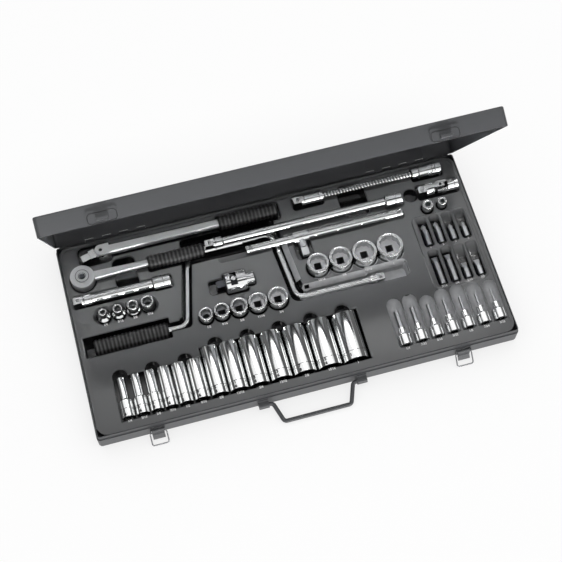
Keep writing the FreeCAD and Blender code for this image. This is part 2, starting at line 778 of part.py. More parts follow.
def make_latch_lever(x):
    """The lever, a bent sheet hanging from its pin with cheeks for the loop and a flared finger tab."""
    half = LEVER_WIDTH / 2
    front = LEVER_Y - LEVER_KNUCKLE
    back = front + LEVER_SHEET
    foot = LEVER_Z - LEVER_REACH
    bend = foot + LEVER_FLARE
    outline = [
        V(x - half, front, LEVER_Z),
        V(x - half, front, bend),
        V(x - half, front - LEVER_FLARE, foot),
        V(x - half, front - LEVER_FLARE + LEVER_SHEET, foot - LEVER_SHEET / 2),
        V(x - half, back, bend - LEVER_SHEET / 2),
        V(x - half, back, LEVER_Z),
    ]
    skin = Part.Face(Part.makePolygon(outline + outline[:1])).extrude(V(LEVER_WIDTH, 0, 0))
    knuckle = rod(V(x - half, LEVER_Y, LEVER_Z), X, LEVER_KNUCKLE, LEVER_WIDTH)
    cheeks = []
    for side in (-1, 1):
        x0 = min(x + side * half, x + side * (half - LEVER_SHEET))
        low = LOOP_Z - LEVER_KNUCKLE
        cheeks.append(box(x0, x0 + LEVER_SHEET, front, LEVER_Y + LEVER_KNUCKLE, low, LEVER_Z))
    pin_hole = rod(V(x - half, LEVER_Y, LEVER_Z), X, LATCH_PIN_RADIUS + PIN_PLAY, LEVER_WIDTH)
    loop_hole = rod(V(x - half, LEVER_Y, LOOP_Z), X, LOOP_WIRE + PIN_PLAY, LEVER_WIDTH)
    return skin.fuse([knuckle] + cheeks).cut([pin_hole, loop_hole]).removeSplitter()


def make_latch_loop(x):
    """The wire loop, sprung into the lever's cheeks and hanging out to the floor."""
    arm = LATCH_PLATE_WIDTH / 2 + LOOP_SIDE_GAP + LOOP_WIRE
    stub = LEVER_WIDTH / 2 - LEVER_SHEET
    points = [
        V(x - stub, LEVER_Y, LOOP_Z),
        V(x - arm, LEVER_Y, LOOP_Z),
        V(x - arm, LEVER_Y, LOOP_Z - LOOP_LENGTH),
        V(x + arm, LEVER_Y, LOOP_Z - LOOP_LENGTH),
        V(x + arm, LEVER_Y, LOOP_Z),
        V(x + stub, LEVER_Y, LOOP_Z),
    ]
    loop = bent_wire(points, min(LOOP_BEND, arm - LEVER_WIDTH / 2 - PIN_PLAY), LOOP_WIRE, LOOP_SIDES)
    return turned_round(loop, V(x, LEVER_Y, LOOP_Z), X, -LOOP_OPEN)


def make_handle():
    """The wire carry handle, drooping until its grip nears the floor, and its two brackets."""
    half = BRACKET_SPREAD / 2
    stub = half + BRACKET_WIDTH / 2
    knee = half - BRACKET_WIDTH / 2 - HANDLE_BEND
    points = [
        V(-stub, HANDLE_Y, HANDLE_HEIGHT),
        V(-knee, HANDLE_Y, HANDLE_HEIGHT),
        V(-HANDLE_GRIP / 2, HANDLE_Y - HANDLE_REACH, HANDLE_HEIGHT),
        V(HANDLE_GRIP / 2, HANDLE_Y - HANDLE_REACH, HANDLE_HEIGHT),
        V(knee, HANDLE_Y, HANDLE_HEIGHT),
        V(stub, HANDLE_Y, HANDLE_HEIGHT),
    ]
    handle = bent_wire(points, HANDLE_BEND, HANDLE_WIRE)
    handle = turned_round(handle, V(0, HANDLE_Y, HANDLE_HEIGHT), X, HANDLE_DROOP)
    brackets = []
    for x in (-half, half):
        x0 = x - BRACKET_WIDTH / 2
        x1 = x + BRACKET_WIDTH / 2
        low = HANDLE_HEIGHT - BRACKET_HEIGHT / 2
        plate = box(x0, x1, FRONT - BRACKET_PLATE, FRONT, low, low + BRACKET_HEIGHT)
        outer = HANDLE_WIRE + BRACKET_WALL
        eye = rod(V(x0, HANDLE_Y, HANDLE_HEIGHT), X, outer, BRACKET_WIDTH)
        web = box(x0, x1, HANDLE_Y, FRONT, HANDLE_HEIGHT - outer, HANDLE_HEIGHT + outer)
        hole = rod(V(x0, HANDLE_Y, HANDLE_HEIGHT), X, HANDLE_WIRE + HANDLE_PLAY, BRACKET_WIDTH)
        brackets.append(plate.fuse([eye, web]).cut(hole).removeSplitter())
    return [handle], brackets


def make_breaker():
    """The breaker bar: forked bar, ribbed grip, drive head and pivot pin."""
    pin = V(BREAKER_PIN_X, BREAKER_Y, BREAKER_Z)
    half = FORK_WIDTH / 2
    grip_x = BREAKER_PIN_X + BREAKER_SHANK_LENGTH
    eye = rod(pin - Z * half, Z, half, FORK_WIDTH)
    block = box(
        pin.x, pin.x + FORK_LENGTH, pin.y - half, pin.y + half, pin.z - half, pin.z + half
    )
    shank = turned(
        [
            (FORK_LENGTH - ROOT_BITE, BREAKER_ROOT_RADIUS),
            (BREAKER_SHANK_LENGTH, BREAKER_NECK_RADIUS),
            (BREAKER_SHANK_LENGTH, BREAKER_TANG_RADIUS),
            (BREAKER_SHANK_LENGTH + BREAKER_TANG_LENGTH, BREAKER_TANG_RADIUS),
        ],
        pin,
        X,
    )
    shank = shank.cut(flats(pin + X * FORK_LENGTH, BREAKER_SHANK_LENGTH - FORK_LENGTH, BREAKER_FLAT, half))
    gap = TONGUE / 2 + TONGUE_PLAY
    slot_end = pin.x + half + HEAD_CLEAR
    slot = box(pin.x - FORK_WIDTH, slot_end, pin.y - half, pin.y + half, pin.z - gap, pin.z + gap)
    hole = rod(pin - Z * half, Z, BREAKER_PIN_RADIUS, FORK_WIDTH)
    bar = eye.fuse([block, shank]).cut([slot, hole]).removeSplitter()
    grip = ribbed_grip(
        V(grip_x, BREAKER_Y, BREAKER_Z),
        X,
        BREAKER_GRIP_LENGTH,
        BREAKER_GRIP_RADIUS,
        BREAKER_RIBS,
        BREAKER_TANG_RADIUS,
        BREAKER_TANG_LENGTH,
    )
    shoulder_x = half + HEAD_CLEAR
    tip = shoulder_x + HEAD_SHOULDER_LENGTH + SQUARE_LENGTH
    side = HEAD_SHOULDER / 2
    tongue = rod(pin - Z * (TONGUE / 2), Z, half - TONGUE_PLAY, TONGUE)
    neck = box(
        pin.x - shoulder_x - ROOT_BITE, pin.x, pin.y - side, pin.y + side, pin.z - TONGUE / 2, pin.z + TONGUE / 2
    )
    shoulder = box(
        pin.x - shoulder_x - HEAD_SHOULDER_LENGTH,
        pin.x - shoulder_x,
        pin.y - side,
        pin.y + side,
        pin.z - side,
        pin.z + side,
    )
    head = tongue.fuse([neck, shoulder, male_square(pin - X * tip, X)])
    head = head.cut(rod(pin - Z * half, Z, BREAKER_PIN_RADIUS + PIN_PLAY, FORK_WIDTH)).removeSplitter()
    head = turned_round(head, pin, Z, BREAKER_FLEX)
    length = FORK_WIDTH - 2 * BREAKER_PIN_SINK
    pin_solid = rod(pin - Z * (length / 2), Z, BREAKER_PIN_RADIUS, length)
    swing = math.radians(BREAKER_SWING)
    reach = tip * math.sin(swing) + SQUARE / 2 + SIDE
    low = BREAKER_Z - half - SEAT
    sink_along(pin.x - tip - 2 * SIDE, pin.x + FORK_LENGTH + SIDE, BREAKER_Y, reach, low, 2 * POCKET_CORNER)
    shank_floor = BREAKER_Z - BREAKER_ROOT_RADIUS - SEAT
    sink_along(pin.x, grip_x, BREAKER_Y, BREAKER_ROOT_RADIUS + SIDE, shank_floor)
    sink_along(
        grip_x - GRIP_SIDE,
        grip_x + BREAKER_GRIP_LENGTH + GRIP_SIDE,
        BREAKER_Y,
        BREAKER_GRIP_RADIUS + GRIP_SIDE,
        BREAKER_Z - BREAKER_GRIP_RADIUS - SEAT,
    )
    return {
        "breaker_bar": [bar],
        "breaker_grip": [grip],
        "breaker_drive_head": [head],
        "breaker_pivot_pin": [pin_solid],
    }


def make_ratchet():
    """The ratchet: forged body and grip, drive gear, pawl, reversing dial, release button and cover."""
    centre = V(RATCHET_X, RATCHET_Y, RATCHET_Z)
    half = RATCHET_HEAD_HEIGHT / 2
    roof = half - HEAD_ROOF
    floor = -half + COVER_THICKNESS + GEAR_PLAY / 2
    bore = GEAR_RADIUS + GEAR_PLAY
    head = rod(centre - Z * half, Z, RATCHET_HEAD_RADIUS, RATCHET_HEAD_HEIGHT)
    neck = turned(
        [
            (RATCHET_HEAD_RADIUS - GEAR_PLAY, RATCHET_ROOT_RADIUS),
            (RATCHET_GRIP_START, RATCHET_NECK_RADIUS),
            (RATCHET_GRIP_START, RATCHET_TANG_RADIUS),
            (RATCHET_GRIP_START + RATCHET_TANG_LENGTH, RATCHET_TANG_RADIUS),
        ],
        centre,
        X,
    )
    flat_length = RATCHET_GRIP_START - RATCHET_HEAD_RADIUS
    neck = neck.cut(flats(centre + X * RATCHET_HEAD_RADIUS, flat_length, RATCHET_FLAT, half))
    pawl_x = bore + PAWL_THICKNESS / 2 + GEAR_PLAY / 2
    pocket_end = pawl_x + PAWL_THICKNESS / 2 + GEAR_PLAY
    pawl_room = box(
        centre.x,
        centre.x + pocket_end,
        centre.y - PAWL_POCKET / 2,
        centre.y + PAWL_POCKET / 2,
        centre.z + floor + GEAR_PLAY,
        centre.z + roof - GEAR_PLAY,
    )
    body = head.fuse(neck).cut(
        [
            rod(centre + Z * (floor - GEAR_PLAY), Z, bore, roof - floor + GEAR_PLAY),
            rod(centre - Z * half, Z, COVER_RADIUS, COVER_THICKNESS),
            rod(centre + Z * roof, Z, DIAL_RADIUS + DIAL_PLAY, HEAD_ROOF),
            pawl_room,
        ]
    )
    grip = ribbed_grip(
        centre + X * RATCHET_GRIP_START,
        X,
        RATCHET_GRIP_LENGTH,
        RATCHET_GRIP_RADIUS,
        RATCHET_RIBS,
        RATCHET_TANG_RADIUS,
        RATCHET_TANG_LENGTH,
    )
    gear_low = -half + COVER_THICKNESS
    gear_high = roof - GEAR_PLAY
    step = 180.0 / GEAR_TEETH
    teeth = [
        (GEAR_RADIUS if k % 2 == 0 else GEAR_RADIUS - GEAR_TOOTH, k * step) for k in range(2 * GEAR_TEETH)
    ]
    gear = polygon_bar(teeth, gear_high - gear_low, centre + Z * gear_low, Z)
    hub = rod(centre - Z * half, Z, GEAR_HUB_RADIUS, half + gear_low)
    square = male_square(centre - Z * (half + SQUARE_LENGTH), Z)
    button_low = BUTTON_TRAVEL + GEAR_PLAY - half / 2
    button_bore = rod(
        centre + Z * (button_low - BUTTON_TRAVEL - GEAR_PLAY), Z, BUTTON_RADIUS + DIAL_PLAY, RATCHET_HEAD_HEIGHT
    )
    gear = gear.fuse([hub, square]).cut(button_bore).removeSplitter()
    cover = ring(
        centre - Z * half, Z, COVER_RADIUS - COVER_FIT, GEAR_HUB_RADIUS + DIAL_PLAY, COVER_THICKNESS
    )
    dial_low = gear_high
    dial = rod(centre + Z * dial_low, Z, DIAL_RADIUS, half + DIAL_RISE - dial_low)
    tab = box(
        centre.x + BUTTON_RADIUS + DIAL_TAB,
        centre.x + DIAL_RADIUS - DIAL_PLAY,
        centre.y - BUTTON_RADIUS / 2,
        centre.y + BUTTON_RADIUS / 2,
        centre.z + half,
        centre.z + half + DIAL_RISE + DIAL_TAB,
    )
    dial = dial.fuse(tab).cut(rod(centre, Z, BUTTON_RADIUS + DIAL_PLAY, RATCHET_HEAD_HEIGHT)).removeSplitter()
    button_top = half + DIAL_RISE + DIAL_TAB
    button = rod(centre + Z * button_low, Z, BUTTON_RADIUS, button_top - button_low)
    pawl = box(
        centre.x + pawl_x - PAWL_THICKNESS / 2,
        centre.x + pawl_x + PAWL_THICKNESS / 2,
        centre.y - PAWL_LENGTH / 2,
        centre.y + PAWL_LENGTH / 2,
        centre.z + floor + GEAR_PLAY,
        centre.z + roof - 1.5 * GEAR_PLAY,
    )
    pawl = turned_round(pawl, centre + X * pawl_x, Z, PAWL_TILT)
    well = 2 * (RATCHET_HEAD_RADIUS + SIDE)
    sink(centre.x, centre.y, well, well, RATCHET_Z - half - SQUARE_LENGTH - SEAT, well / 2)
    grip_x = centre.x + RATCHET_GRIP_START
    sink_along(
        centre.x, grip_x, centre.y, RATCHET_ROOT_RADIUS + SIDE, RATCHET_Z - RATCHET_ROOT_RADIUS - SEAT
    )
    sink_along(
        grip_x - SIDE,
        grip_x + RATCHET_GRIP_LENGTH + SIDE,
        centre.y,
        RATCHET_GRIP_RADIUS + SIDE,
        RATCHET_Z - RATCHET_GRIP_RADIUS - SEAT,
    )
    return {
        "ratchet_body": [body],
        "ratchet_grip": [grip],
        "ratchet_drive_gear": [gear],
        "ratchet_pawl": [pawl],
        "ratchet_reversing_dial": [dial],
        "ratchet_release_button": [button],
        "ratchet_cover": [cover],
    }


def extension_bar(start, length, radius, collar):
    """An extension bar: drive square, collar, shaft and female end."""
    neck = length - FEMALE_LENGTH
    profile = [
        (SQUARE_LENGTH - SQUARE_CHAMFER, collar),
        (SQUARE_LENGTH + COLLAR_LENGTH - COLLAR_TAPER, collar),
        (SQUARE_LENGTH + COLLAR_LENGTH, radius),
        (neck - COLLAR_TAPER, radius),
        (neck, FEMALE_RADIUS),
        (length, FEMALE_RADIUS),
    ]
    bar = turned(profile, start, X).fuse(male_square(start, X))
    return bar.cut(female_bore(start + X * length, -X)).removeSplitter()


def make_extensions():
    """The short and the long extension bar and their pockets."""
    short = extension_bar(V(SHORT_X, SHORT_Y, SHORT_Z), SHORT_LENGTH, SHORT_RADIUS, COLLAR_RADIUS)
    long = extension_bar(V(LONG_X, LONG_Y, LONG_Z), LONG_LENGTH, LONG_RADIUS, COLLAR_RADIUS)
    for x, y, z, length, start in (
        (SHORT_X, SHORT_Y, SHORT_Z, SHORT_LENGTH, SHORT_X - SIDE),
        (LONG_X, LONG_Y, LONG_Z, LONG_LENGTH, LONG_X + SQUARE_LENGTH),
    ):
        end = x + length
        sink_along(start, end, y, COLLAR_RADIUS + SIDE, z - COLLAR_RADIUS - SEAT)
        sink_along(
            end - FEMALE_LENGTH - SIDE, end + 2 * SIDE, y, FEMALE_RADIUS + SIDE, z - FEMALE_RADIUS - SEAT
        )
    return {"short_extension": [short], "long_extension": [long]}


def make_tee():
    """The sliding tee handle: a bar with knobbed ends through a square-drive head."""
    start = V(TEE_X, TEE_Y, TEE_Z)
    neck = TEE_RADIUS - TEE_GROOVE
    profile = [
        (0, neck),
        (TEE_GROOVE, TEE_RADIUS),
        (TEE_KNOB, TEE_RADIUS),
        (TEE_KNOB, neck),
        (TEE_KNOB + TEE_GROOVE, neck),
        (TEE_KNOB + TEE_GROOVE, TEE_RADIUS),
    ]
    profile += [(TEE_LENGTH - a, r) for a, r in reversed(profile)]
    bar = turned(profile, start, X)
    centre = V(TEE_HEAD_X, TEE_Y, TEE_Z)
    hub_x = TEE_HEAD_X - TEE_HUB_LENGTH / 2
    hub = rod(V(hub_x, TEE_Y, TEE_Z), X, TEE_HUB_RADIUS, TEE_HUB_LENGTH)
    stem = rod(centre, -Y, TEE_NECK_RADIUS, TEE_NECK_LENGTH)
    square = male_square(centre - Y * (TEE_NECK_LENGTH + SQUARE_LENGTH), Y)
    through = rod(V(hub_x, TEE_Y, TEE_Z), X, TEE_RADIUS + TEE_PLAY, TEE_HUB_LENGTH)
    head = hub.fuse([stem, square]).cut(through).removeSplitter()
    sink_along(
        TEE_X - TEE_SLIDE - SIDE,
        TEE_X + TEE_LENGTH + SIDE,
        TEE_Y,
        TEE_RADIUS + SIDE,
        TEE_Z - TEE_RADIUS - SEAT,
    )
    front = TEE_Y - TEE_NECK_LENGTH - SQUARE_LENGTH - SIDE
    back = TEE_Y + TEE_HUB_RADIUS + SIDE
    sink(
        TEE_HEAD_X,
        (front + back) / 2,
        TEE_HUB_LENGTH + 2 * SIDE,
        back - front,
        TEE_Z - TEE_HUB_RADIUS - SEAT,
    )
    return {"tee_bar": [bar], "tee_head": [head]}


def make_brace():
    """The speed brace: bent rod with its drive end, a turning end grip and a turning crank sleeve."""
    grip_end = BRACE_GRIP_START + BRACE_GRIP_LENGTH
    tang = BRACE_GRIP_START + BRACE_GRIP_BORE_END
    corners = [
        V(tang, BRACE_Y, BRACE_Z),
        V(BRACE_LEFT_X, BRACE_Y, BRACE_Z),
        V(BRACE_CRANK_LEFT_X, BRACE_CRANK_Y, BRACE_Z),
        V(BRACE_CRANK_RIGHT_X, BRACE_CRANK_Y, BRACE_Z),
        V(BRACE_RIGHT_X, BRACE_Y, BRACE_Z),
        V(BRACE_DRIVE_X, BRACE_Y, BRACE_Z),
    ]
    rod_solid = bent_wire(corners, BRACE_BEND, BRACE_ROD)
    drive = V(BRACE_DRIVE_X, BRACE_Y, BRACE_Z)
    collar = turned(
        [
            (-2 * BRACE_COLLAR_LENGTH, BRACE_ROD),
            (-BRACE_COLLAR_LENGTH, BRACE_COLLAR_RADIUS),
            (0, BRACE_COLLAR_RADIUS),
        ],
        drive,
        X,
    )
    square = male_square(drive + X * (SQUARE_LENGTH - SQUARE_CHAMFER), -X)
    crank = rod_solid.fuse([collar, square]).removeSplitter()
    grip = ribbed_grip(
        V(grip_end, BRACE_Y, BRACE_Z),
        -X,
        BRACE_GRIP_LENGTH,
        BRACE_GRIP_RADIUS,
        BRACE_GRIP_RIBS,
        BRACE_ROD + TURN_PLAY,
        BRACE_GRIP_LENGTH - BRACE_GRIP_BORE_END + TURN_PLAY,
    )
    middle = (BRACE_CRANK_LEFT_X + BRACE_CRANK_RIGHT_X) / 2
    sleeve = ring(
        V(middle - SLEEVE_LENGTH / 2, BRACE_CRANK_Y, BRACE_Z),
        X,
        SLEEVE_RADIUS,
        BRACE_ROD + TURN_PLAY,
        SLEEVE_LENGTH,
    )
    floor = BRACE_Z - BRACE_ROD - SEAT
    half = BRACE_ROD + SIDE
    sink_along(
        BRACE_GRIP_START - 4 * GRIP_SIDE,
        grip_end + GRIP_SIDE,
        BRACE_Y,
        BRACE_GRIP_RADIUS + GRIP_SIDE,
        BRACE_Z - BRACE_GRIP_RADIUS - SEAT,
        POCKET_CORNER / 2,
    )
    for k, slope in ((0, 0.0), (1, 0.0), (3, BRACE_SLOPE), (4, BRACE_SLOPE)):
        sink_run(corners[k], corners[k + 1], half, floor, slope)
    for before, corner, after in zip(corners, corners[1:], corners[2:]):
        arrive = (corner - before).normalize()
        leave = (after - corner).normalize()
        turn = arrive.getAngle(leave)
        inward = (leave - arrive).normalize()
        middle_bend = corner + inward * (BRACE_BEND / math.cos(turn / 2) - BRACE_BEND)
        width = 2 * (half + SIDE)
        sink(middle_bend.x, middle_bend.y, width, width, floor, width / 2)
    sink_along(
        BRACE_DRIVE_X - 2 * BRACE_COLLAR_LENGTH,
        BRACE_DRIVE_X + SQUARE_LENGTH + BRACE_END_POCKET,
        BRACE_Y,
        BRACE_COLLAR_RADIUS + SIDE,
        BRACE_Z - BRACE_COLLAR_RADIUS - SEAT,
        POCKET_CORNER,
        BRACE_SLOPE,
    )
    sink(
        middle,
        BRACE_CRANK_Y,
        BRACE_CRANK_RIGHT_X - BRACE_CRANK_LEFT_X + 2 * half,
        CHANNEL_WIDTH,
        BRACE_Z - SLEEVE_RADIUS - SEAT,
        half,
    )
    return {"brace_crank": [crank], "brace_end_grip": [grip], "brace_crank_sleeve": [sleeve]}


def arc_from(start, tangent, end):
    """The arc that leaves start along a tangent and reaches end."""
    chord = end - start
    along = V(chord).normalize()
    side = tangent - along * tangent.dot(along)
    angle = tangent.getAngle(along)
    middle = start + chord * 0.5 + side.normalize() * (chord.Length / 2 * math.tan(angle / 2))
    return Part.Arc(start, middle, end).toShape()


def biarc(start, tangent, end, end_tangent):
    """Two arcs that join two points with their tangents."""
    span = end - start
    both = tangent + end_tangent
    bend = 2 * (1 - tangent.dot(end_tangent))
    reach = span.dot(both)
    arm = (-reach + math.sqrt(reach * reach + bend * span.dot(span))) / bend
    joint = (start + tangent * arm + end - end_tangent * arm) * 0.5
    heading = (end - end_tangent * arm - start - tangent * arm).normalize()
    return [arc_from(start, tangent, joint), arc_from(joint, heading, end)]


def make_flex():
    """The flexible extension: drive end, socket end, and between them one wound wire over a core."""
    start = V(FLEX_X, FLEX_Y, FLEX_Z)
    coil_start = V(FLEX_COIL_X, FLEX_Y, FLEX_Z)
    end = V(FLEX_END_X, FLEX_Y, FLEX_Z)
    collar = turned(
        [
            (SQUARE_LENGTH - SQUARE_CHAMFER, FLEX_COLLAR_RADIUS),
            (SQUARE_LENGTH + FLEX_COLLAR_LENGTH, FLEX_COLLAR_RADIUS),
        ],
        start,
        X,
    )
    drive = collar.fuse(male_square(start, X)).removeSplitter()
    ferrule = turned(
        [
            (0, FLEX_FERRULE_RADIUS),
            (FLEX_FERRULE_LENGTH, FLEX_FERRULE_RADIUS),
            (FLEX_FERRULE_LENGTH, FEMALE_RADIUS),
            (FLEX_FERRULE_LENGTH + FLEX_SOCKET_LENGTH, FEMALE_RADIUS),
        ],
        end,
        X,
    )
    mouth = end + X * (FLEX_FERRULE_LENGTH + FLEX_SOCKET_LENGTH)
    socket_end = ferrule.cut(female_bore(mouth, -X)).removeSplitter()
    mean = FLEX_COIL_RADIUS - FLEX_WIRE / 2
    half = FLEX_WIRE / 2
    corner = FLEX_WIRE / math.sqrt(2)
    pitch = (FLEX_COIL_LENGTH - FLEX_WIRE + 2 * FLEX_BITE) / FLEX_TURNS
    lead = pitch / (2 * math.pi)

    def place(turn):
        angle = 2 * math.pi * turn
        spot = V(
            coil_start.x + half - FLEX_BITE + pitch * turn,
            FLEX_Y + mean * math.cos(angle),
            FLEX_Z + mean * math.sin(angle),
        )
        return spot, V(lead, -mean * math.sin(angle), mean * math.cos(angle)).normalize()

    first, heading = place(0)
    tail = first - heading * FLEX_WIRE
    last, end_heading = place(FLEX_TURNS)
    edges = [Part.makeLine(tail, first)]
    for k in range(2 * FLEX_TURNS):
        edges += biarc(*place(k / 2), *place((k + 1) / 2))
    edges.append(Part.makeLine(last, last + end_heading * FLEX_WIRE))
    path = Part.Wire(edges)
    upright = heading.cross(Y).normalize()
    corners = [tail + Y * (half * a) + upright * (half * b) for a, b in ((1, 1), (-1, 1), (-1, -1), (1, -1))]
    section = Part.makePolygon(corners + corners[:1])
    coil = path.makePipeShell([section], True, False)
    spots = path.discretize(FLEX_SAMPLES * FLEX_TURNS)
    apart = FLEX_SAMPLES * 3 // 4
    nearest = min(p.distanceToPoint(q) for k, p in enumerate(spots) for q in spots[k + apart :])
    print("flexible shaft: least gap between turns", round(nearest - 2 * corner, 2))
    drive = drive.cut(coil)
    socket_end = socket_end.cut(coil)
    core = rod(coil_start, X, mean - corner - FLEX_CORE_GAP, FLEX_COIL_LENGTH)
    floor = FLEX_Z - FEMALE_RADIUS - SEAT
    sink_along(FLEX_X - SIDE, FLEX_COIL_X + SIDE, FLEX_Y, FEMALE_RADIUS + SIDE, floor)
    sink_along(FLEX_COIL_X, FLEX_END_X, FLEX_Y, mean + corner + SIDE, FLEX_Z - mean - corner - SEAT)
    sink_along(FLEX_END_X - SIDE, mouth.x + 2 * SIDE, FLEX_Y, FEMALE_RADIUS + SIDE, floor)
    return {
        "flex_drive_end": [drive],
        "flex_socket_end": [socket_end],
        "flex_winding": [coil],
        "flex_core": [core],
    }


def yoke_ears(side, toward, reach):
    """Two ears of a yoke either side of the joint's block, rounded to the joint's girth."""
    centre = V(JOINT_CENTRE_X, JOINT_Y, JOINT_Z)
    inner = JOINT_BLOCK / 2 + JOINT_EAR_PLAY
    width = JOINT_BLOCK / 2 - JOINT_EAR_EASE
    ears = []
    for sign in (-1, 1):
        low = inner if sign > 0 else -JOINT_RADIUS
        high = JOINT_RADIUS if sign > 0 else -inner
        bounds = [sorted((-toward * JOINT_EAR_REACH, toward * reach))]
        bounds += [(low, high), (-width, width)] if side == "y" else [(-width, width), (low, high)]
        (x0, x1), (y0, y1), (z0, z1) = bounds
        ear = box(x0, x1, y0, y1, z0, z1)
        ear.translate(centre)
        ears.append(ear)
    girth = rod(centre - X * reach, X, JOINT_RADIUS, 2 * reach)
    return [ear.common(girth) for ear in ears]


def make_universal_joint():
    """The universal joint: two yokes crossed on a block by its pins."""
    centre = V(JOINT_CENTRE_X, JOINT_Y, JOINT_Z)
    start = V(JOINT_X, JOINT_Y, JOINT_Z)
    shoulder = SQUARE_LENGTH + JOINT_BODY
    reach = JOINT_CENTRE - shoulder
    body = turned([(SQUARE_LENGTH - SQUARE_CHAMFER, JOINT_RADIUS), (shoulder, JOINT_RADIUS)], start, X)
    male = body.fuse([male_square(start, X)] + yoke_ears("z", -1, reach))
    loose = JOINT_PIN_RADIUS + PIN_PLAY
    male = male.cut(rod(centre - Z * JOINT_RADIUS, Z, loose, 2 * JOINT_RADIUS)).removeSplitter()
    tail = JOINT_CENTRE + reach
    body = turned([(tail, JOINT_RADIUS), (JOINT_FEMALE_END, JOINT_RADIUS)], start, X)
    body = body.cut(female_bore(start + X * JOINT_FEMALE_END, -X))
    female = body.fuse(yoke_ears("y", 1, reach))
    female = female.cut(rod(centre - Y * JOINT_RADIUS, Y, loose, 2 * JOINT_RADIUS)).removeSplitter()
    half = JOINT_BLOCK / 2
    block = box(-half, half, -half, half, -half, half)
    block.translate(centre)
    pin_length = 2 * math.sqrt(JOINT_RADIUS**2 - JOINT_PIN_RADIUS**2) - JOINT_EAR_PLAY
    upright = rod(centre - Z * (pin_length / 2), Z, JOINT_PIN_RADIUS, pin_length)
    stub = pin_length / 2 - JOINT_PIN_RADIUS
    level = [
        rod(centre + Y * (sign * JOINT_PIN_RADIUS), Y * sign, JOINT_PIN_RADIUS, stub).cut(upright)
        for sign in (-1, 1)
    ]
    block = block.cut([upright] + level)
    swing = JOINT_CENTRE * math.sin(math.radians(JOINT_SWING)) + SQUARE / 2
    half_width = max(JOINT_RADIUS, swing) + SIDE
    floor = JOINT_Z - JOINT_RADIUS - SEAT
    sink_along(JOINT_X - SIDE, JOINT_X + JOINT_FEMALE_END + SIDE, JOINT_Y, half_width, floor)
    ear_floor = JOINT_Z - math.hypot(JOINT_EAR_REACH, JOINT_RADIUS) - SEAT
    ear_reach = JOINT_EAR_REACH + 2 * SIDE
    sink_along(JOINT_CENTRE_X - ear_reach, JOINT_CENTRE_X + ear_reach, JOINT_Y, half + SIDE, ear_floor)
    dimple = 2 * SCALLOP_RADIUS
    sink(JOINT_X - SCALLOP_RADIUS, JOINT_Y, dimple, dimple, SCALLOP_FLOOR, SCALLOP_RADIUS)
    return {
        "joint_male_yoke": [male],
        "joint_female_yoke": [female],
        "joint_block": [block],
        "joint_pins": [upright] + level,
    }


def make_adaptor():
    """The ratchet adaptor: body with a window, turning drive and shift lever."""
    start = V(ADAPTOR_X, ADAPTOR_Y, ADAPTOR_Z)
    body_start = SQUARE_LENGTH
    body_end = body_start + ADAPTOR_LENGTH
    end = body_end + ADAPTOR_BOSS_LENGTH
    ring_start = body_end - 3 * ADAPTOR_RING
    shell = turned(
        [
            (body_start, ADAPTOR_RADIUS - ADAPTOR_RING),
            (body_start + ADAPTOR_RING, ADAPTOR_RADIUS),
            (ring_start, ADAPTOR_RADIUS),
            (ring_start, ADAPTOR_RADIUS - ADAPTOR_RING),
            (body_end, ADAPTOR_RADIUS - ADAPTOR_RING),
            (body_end, ADAPTOR_BOSS_RADIUS),
            (end, ADAPTOR_BOSS_RADIUS),
        ],
        start,
        X,
    )
    cavity = ADAPTOR_RADIUS - ADAPTOR_WALL
    room_end = ring_start - ADAPTOR_WALL
    room = rod(start + X * body_start, X, cavity, room_end - body_start)
    window = box(-ADAPTOR_WINDOW / 2, ADAPTOR_WINDOW / 2, -ADAPTOR_WINDOW, ADAPTOR_WINDOW, 0, ADAPTOR_RADIUS)
    window.translate(start + X * ((body_start + room_end) / 2))
    shell = shell.cut([room, window, female_bore(start + X * end, -X)]).removeSplitter()
    rotor_radius = cavity - ADAPTOR_LEVER_RADIUS
    rotor = turned(
        [
            (SQUARE_LENGTH - SQUARE_CHAMFER, ADAPTOR_BOSS_RADIUS),
            (body_start, ADAPTOR_BOSS_RADIUS),
            (body_start, cavity - ADAPTOR_ROTOR_PLAY),
            (body_start + ADAPTOR_WALL, cavity - ADAPTOR_ROTOR_PLAY),
            (body_start + ADAPTOR_WALL, rotor_radius),
            (room_end - ADAPTOR_ROTOR_PLAY, rotor_radius),
        ],
        start,
        X,
    )
    drive = rotor.fuse(male_square(start, X)).removeSplitter()
    lever_x = (body_start + room_end) / 2
    lever_low = rotor_radius
    lever = rod(
        start + V(lever_x, 0, lever_low), Z, ADAPTOR_LEVER_RADIUS, ADAPTOR_RADIUS - lever_low - ADAPTOR_RING
    )
    body_x = ADAPTOR_X + body_start
    floor = ADAPTOR_Z - ADAPTOR_RADIUS - SEAT
    sink_along(body_x - SIDE, ADAPTOR_X + body_end + SIDE, ADAPTOR_Y, ADAPTOR_RADIUS + SIDE, floor)
    ends_floor = ADAPTOR_Z - ADAPTOR_BOSS_RADIUS - SEAT
    sink_along(
        ADAPTOR_X - SCALLOP_RADIUS, ADAPTOR_X + end + SIDE, ADAPTOR_Y, ADAPTOR_BOSS_RADIUS + SIDE, ends_floor
    )
    return {"adaptor_body": [shell], "adaptor_drive": [drive], "adaptor_shift_button": [lever]}


def opening(sixteenths):
    """The width across flats of a socket."""
    return sixteenths * SIZE_STEP


def outer_radius(sixteenths):
    """The outer radius of a socket round its opening."""
    return (OUTER_PER_SIZE * opening(sixteenths) + OUTER_EXTRA) / 2


def drive_hole(sixteenths, length, start, along):
    """The drive's square hole, which runs through to a wide opening, and the round passage to a narrow one."""
    reach = length if opening(sixteenths) > SQUARE_BORE * math.sqrt(2) else DRIVE_LENGTH
    passage = min(opening(sixteenths) * PASSAGE_SHARE, SQUARE_BORE) / 2
    return [square_bar(SQUARE_BORE, reach, start, along), rod(start, along, passage, length)]


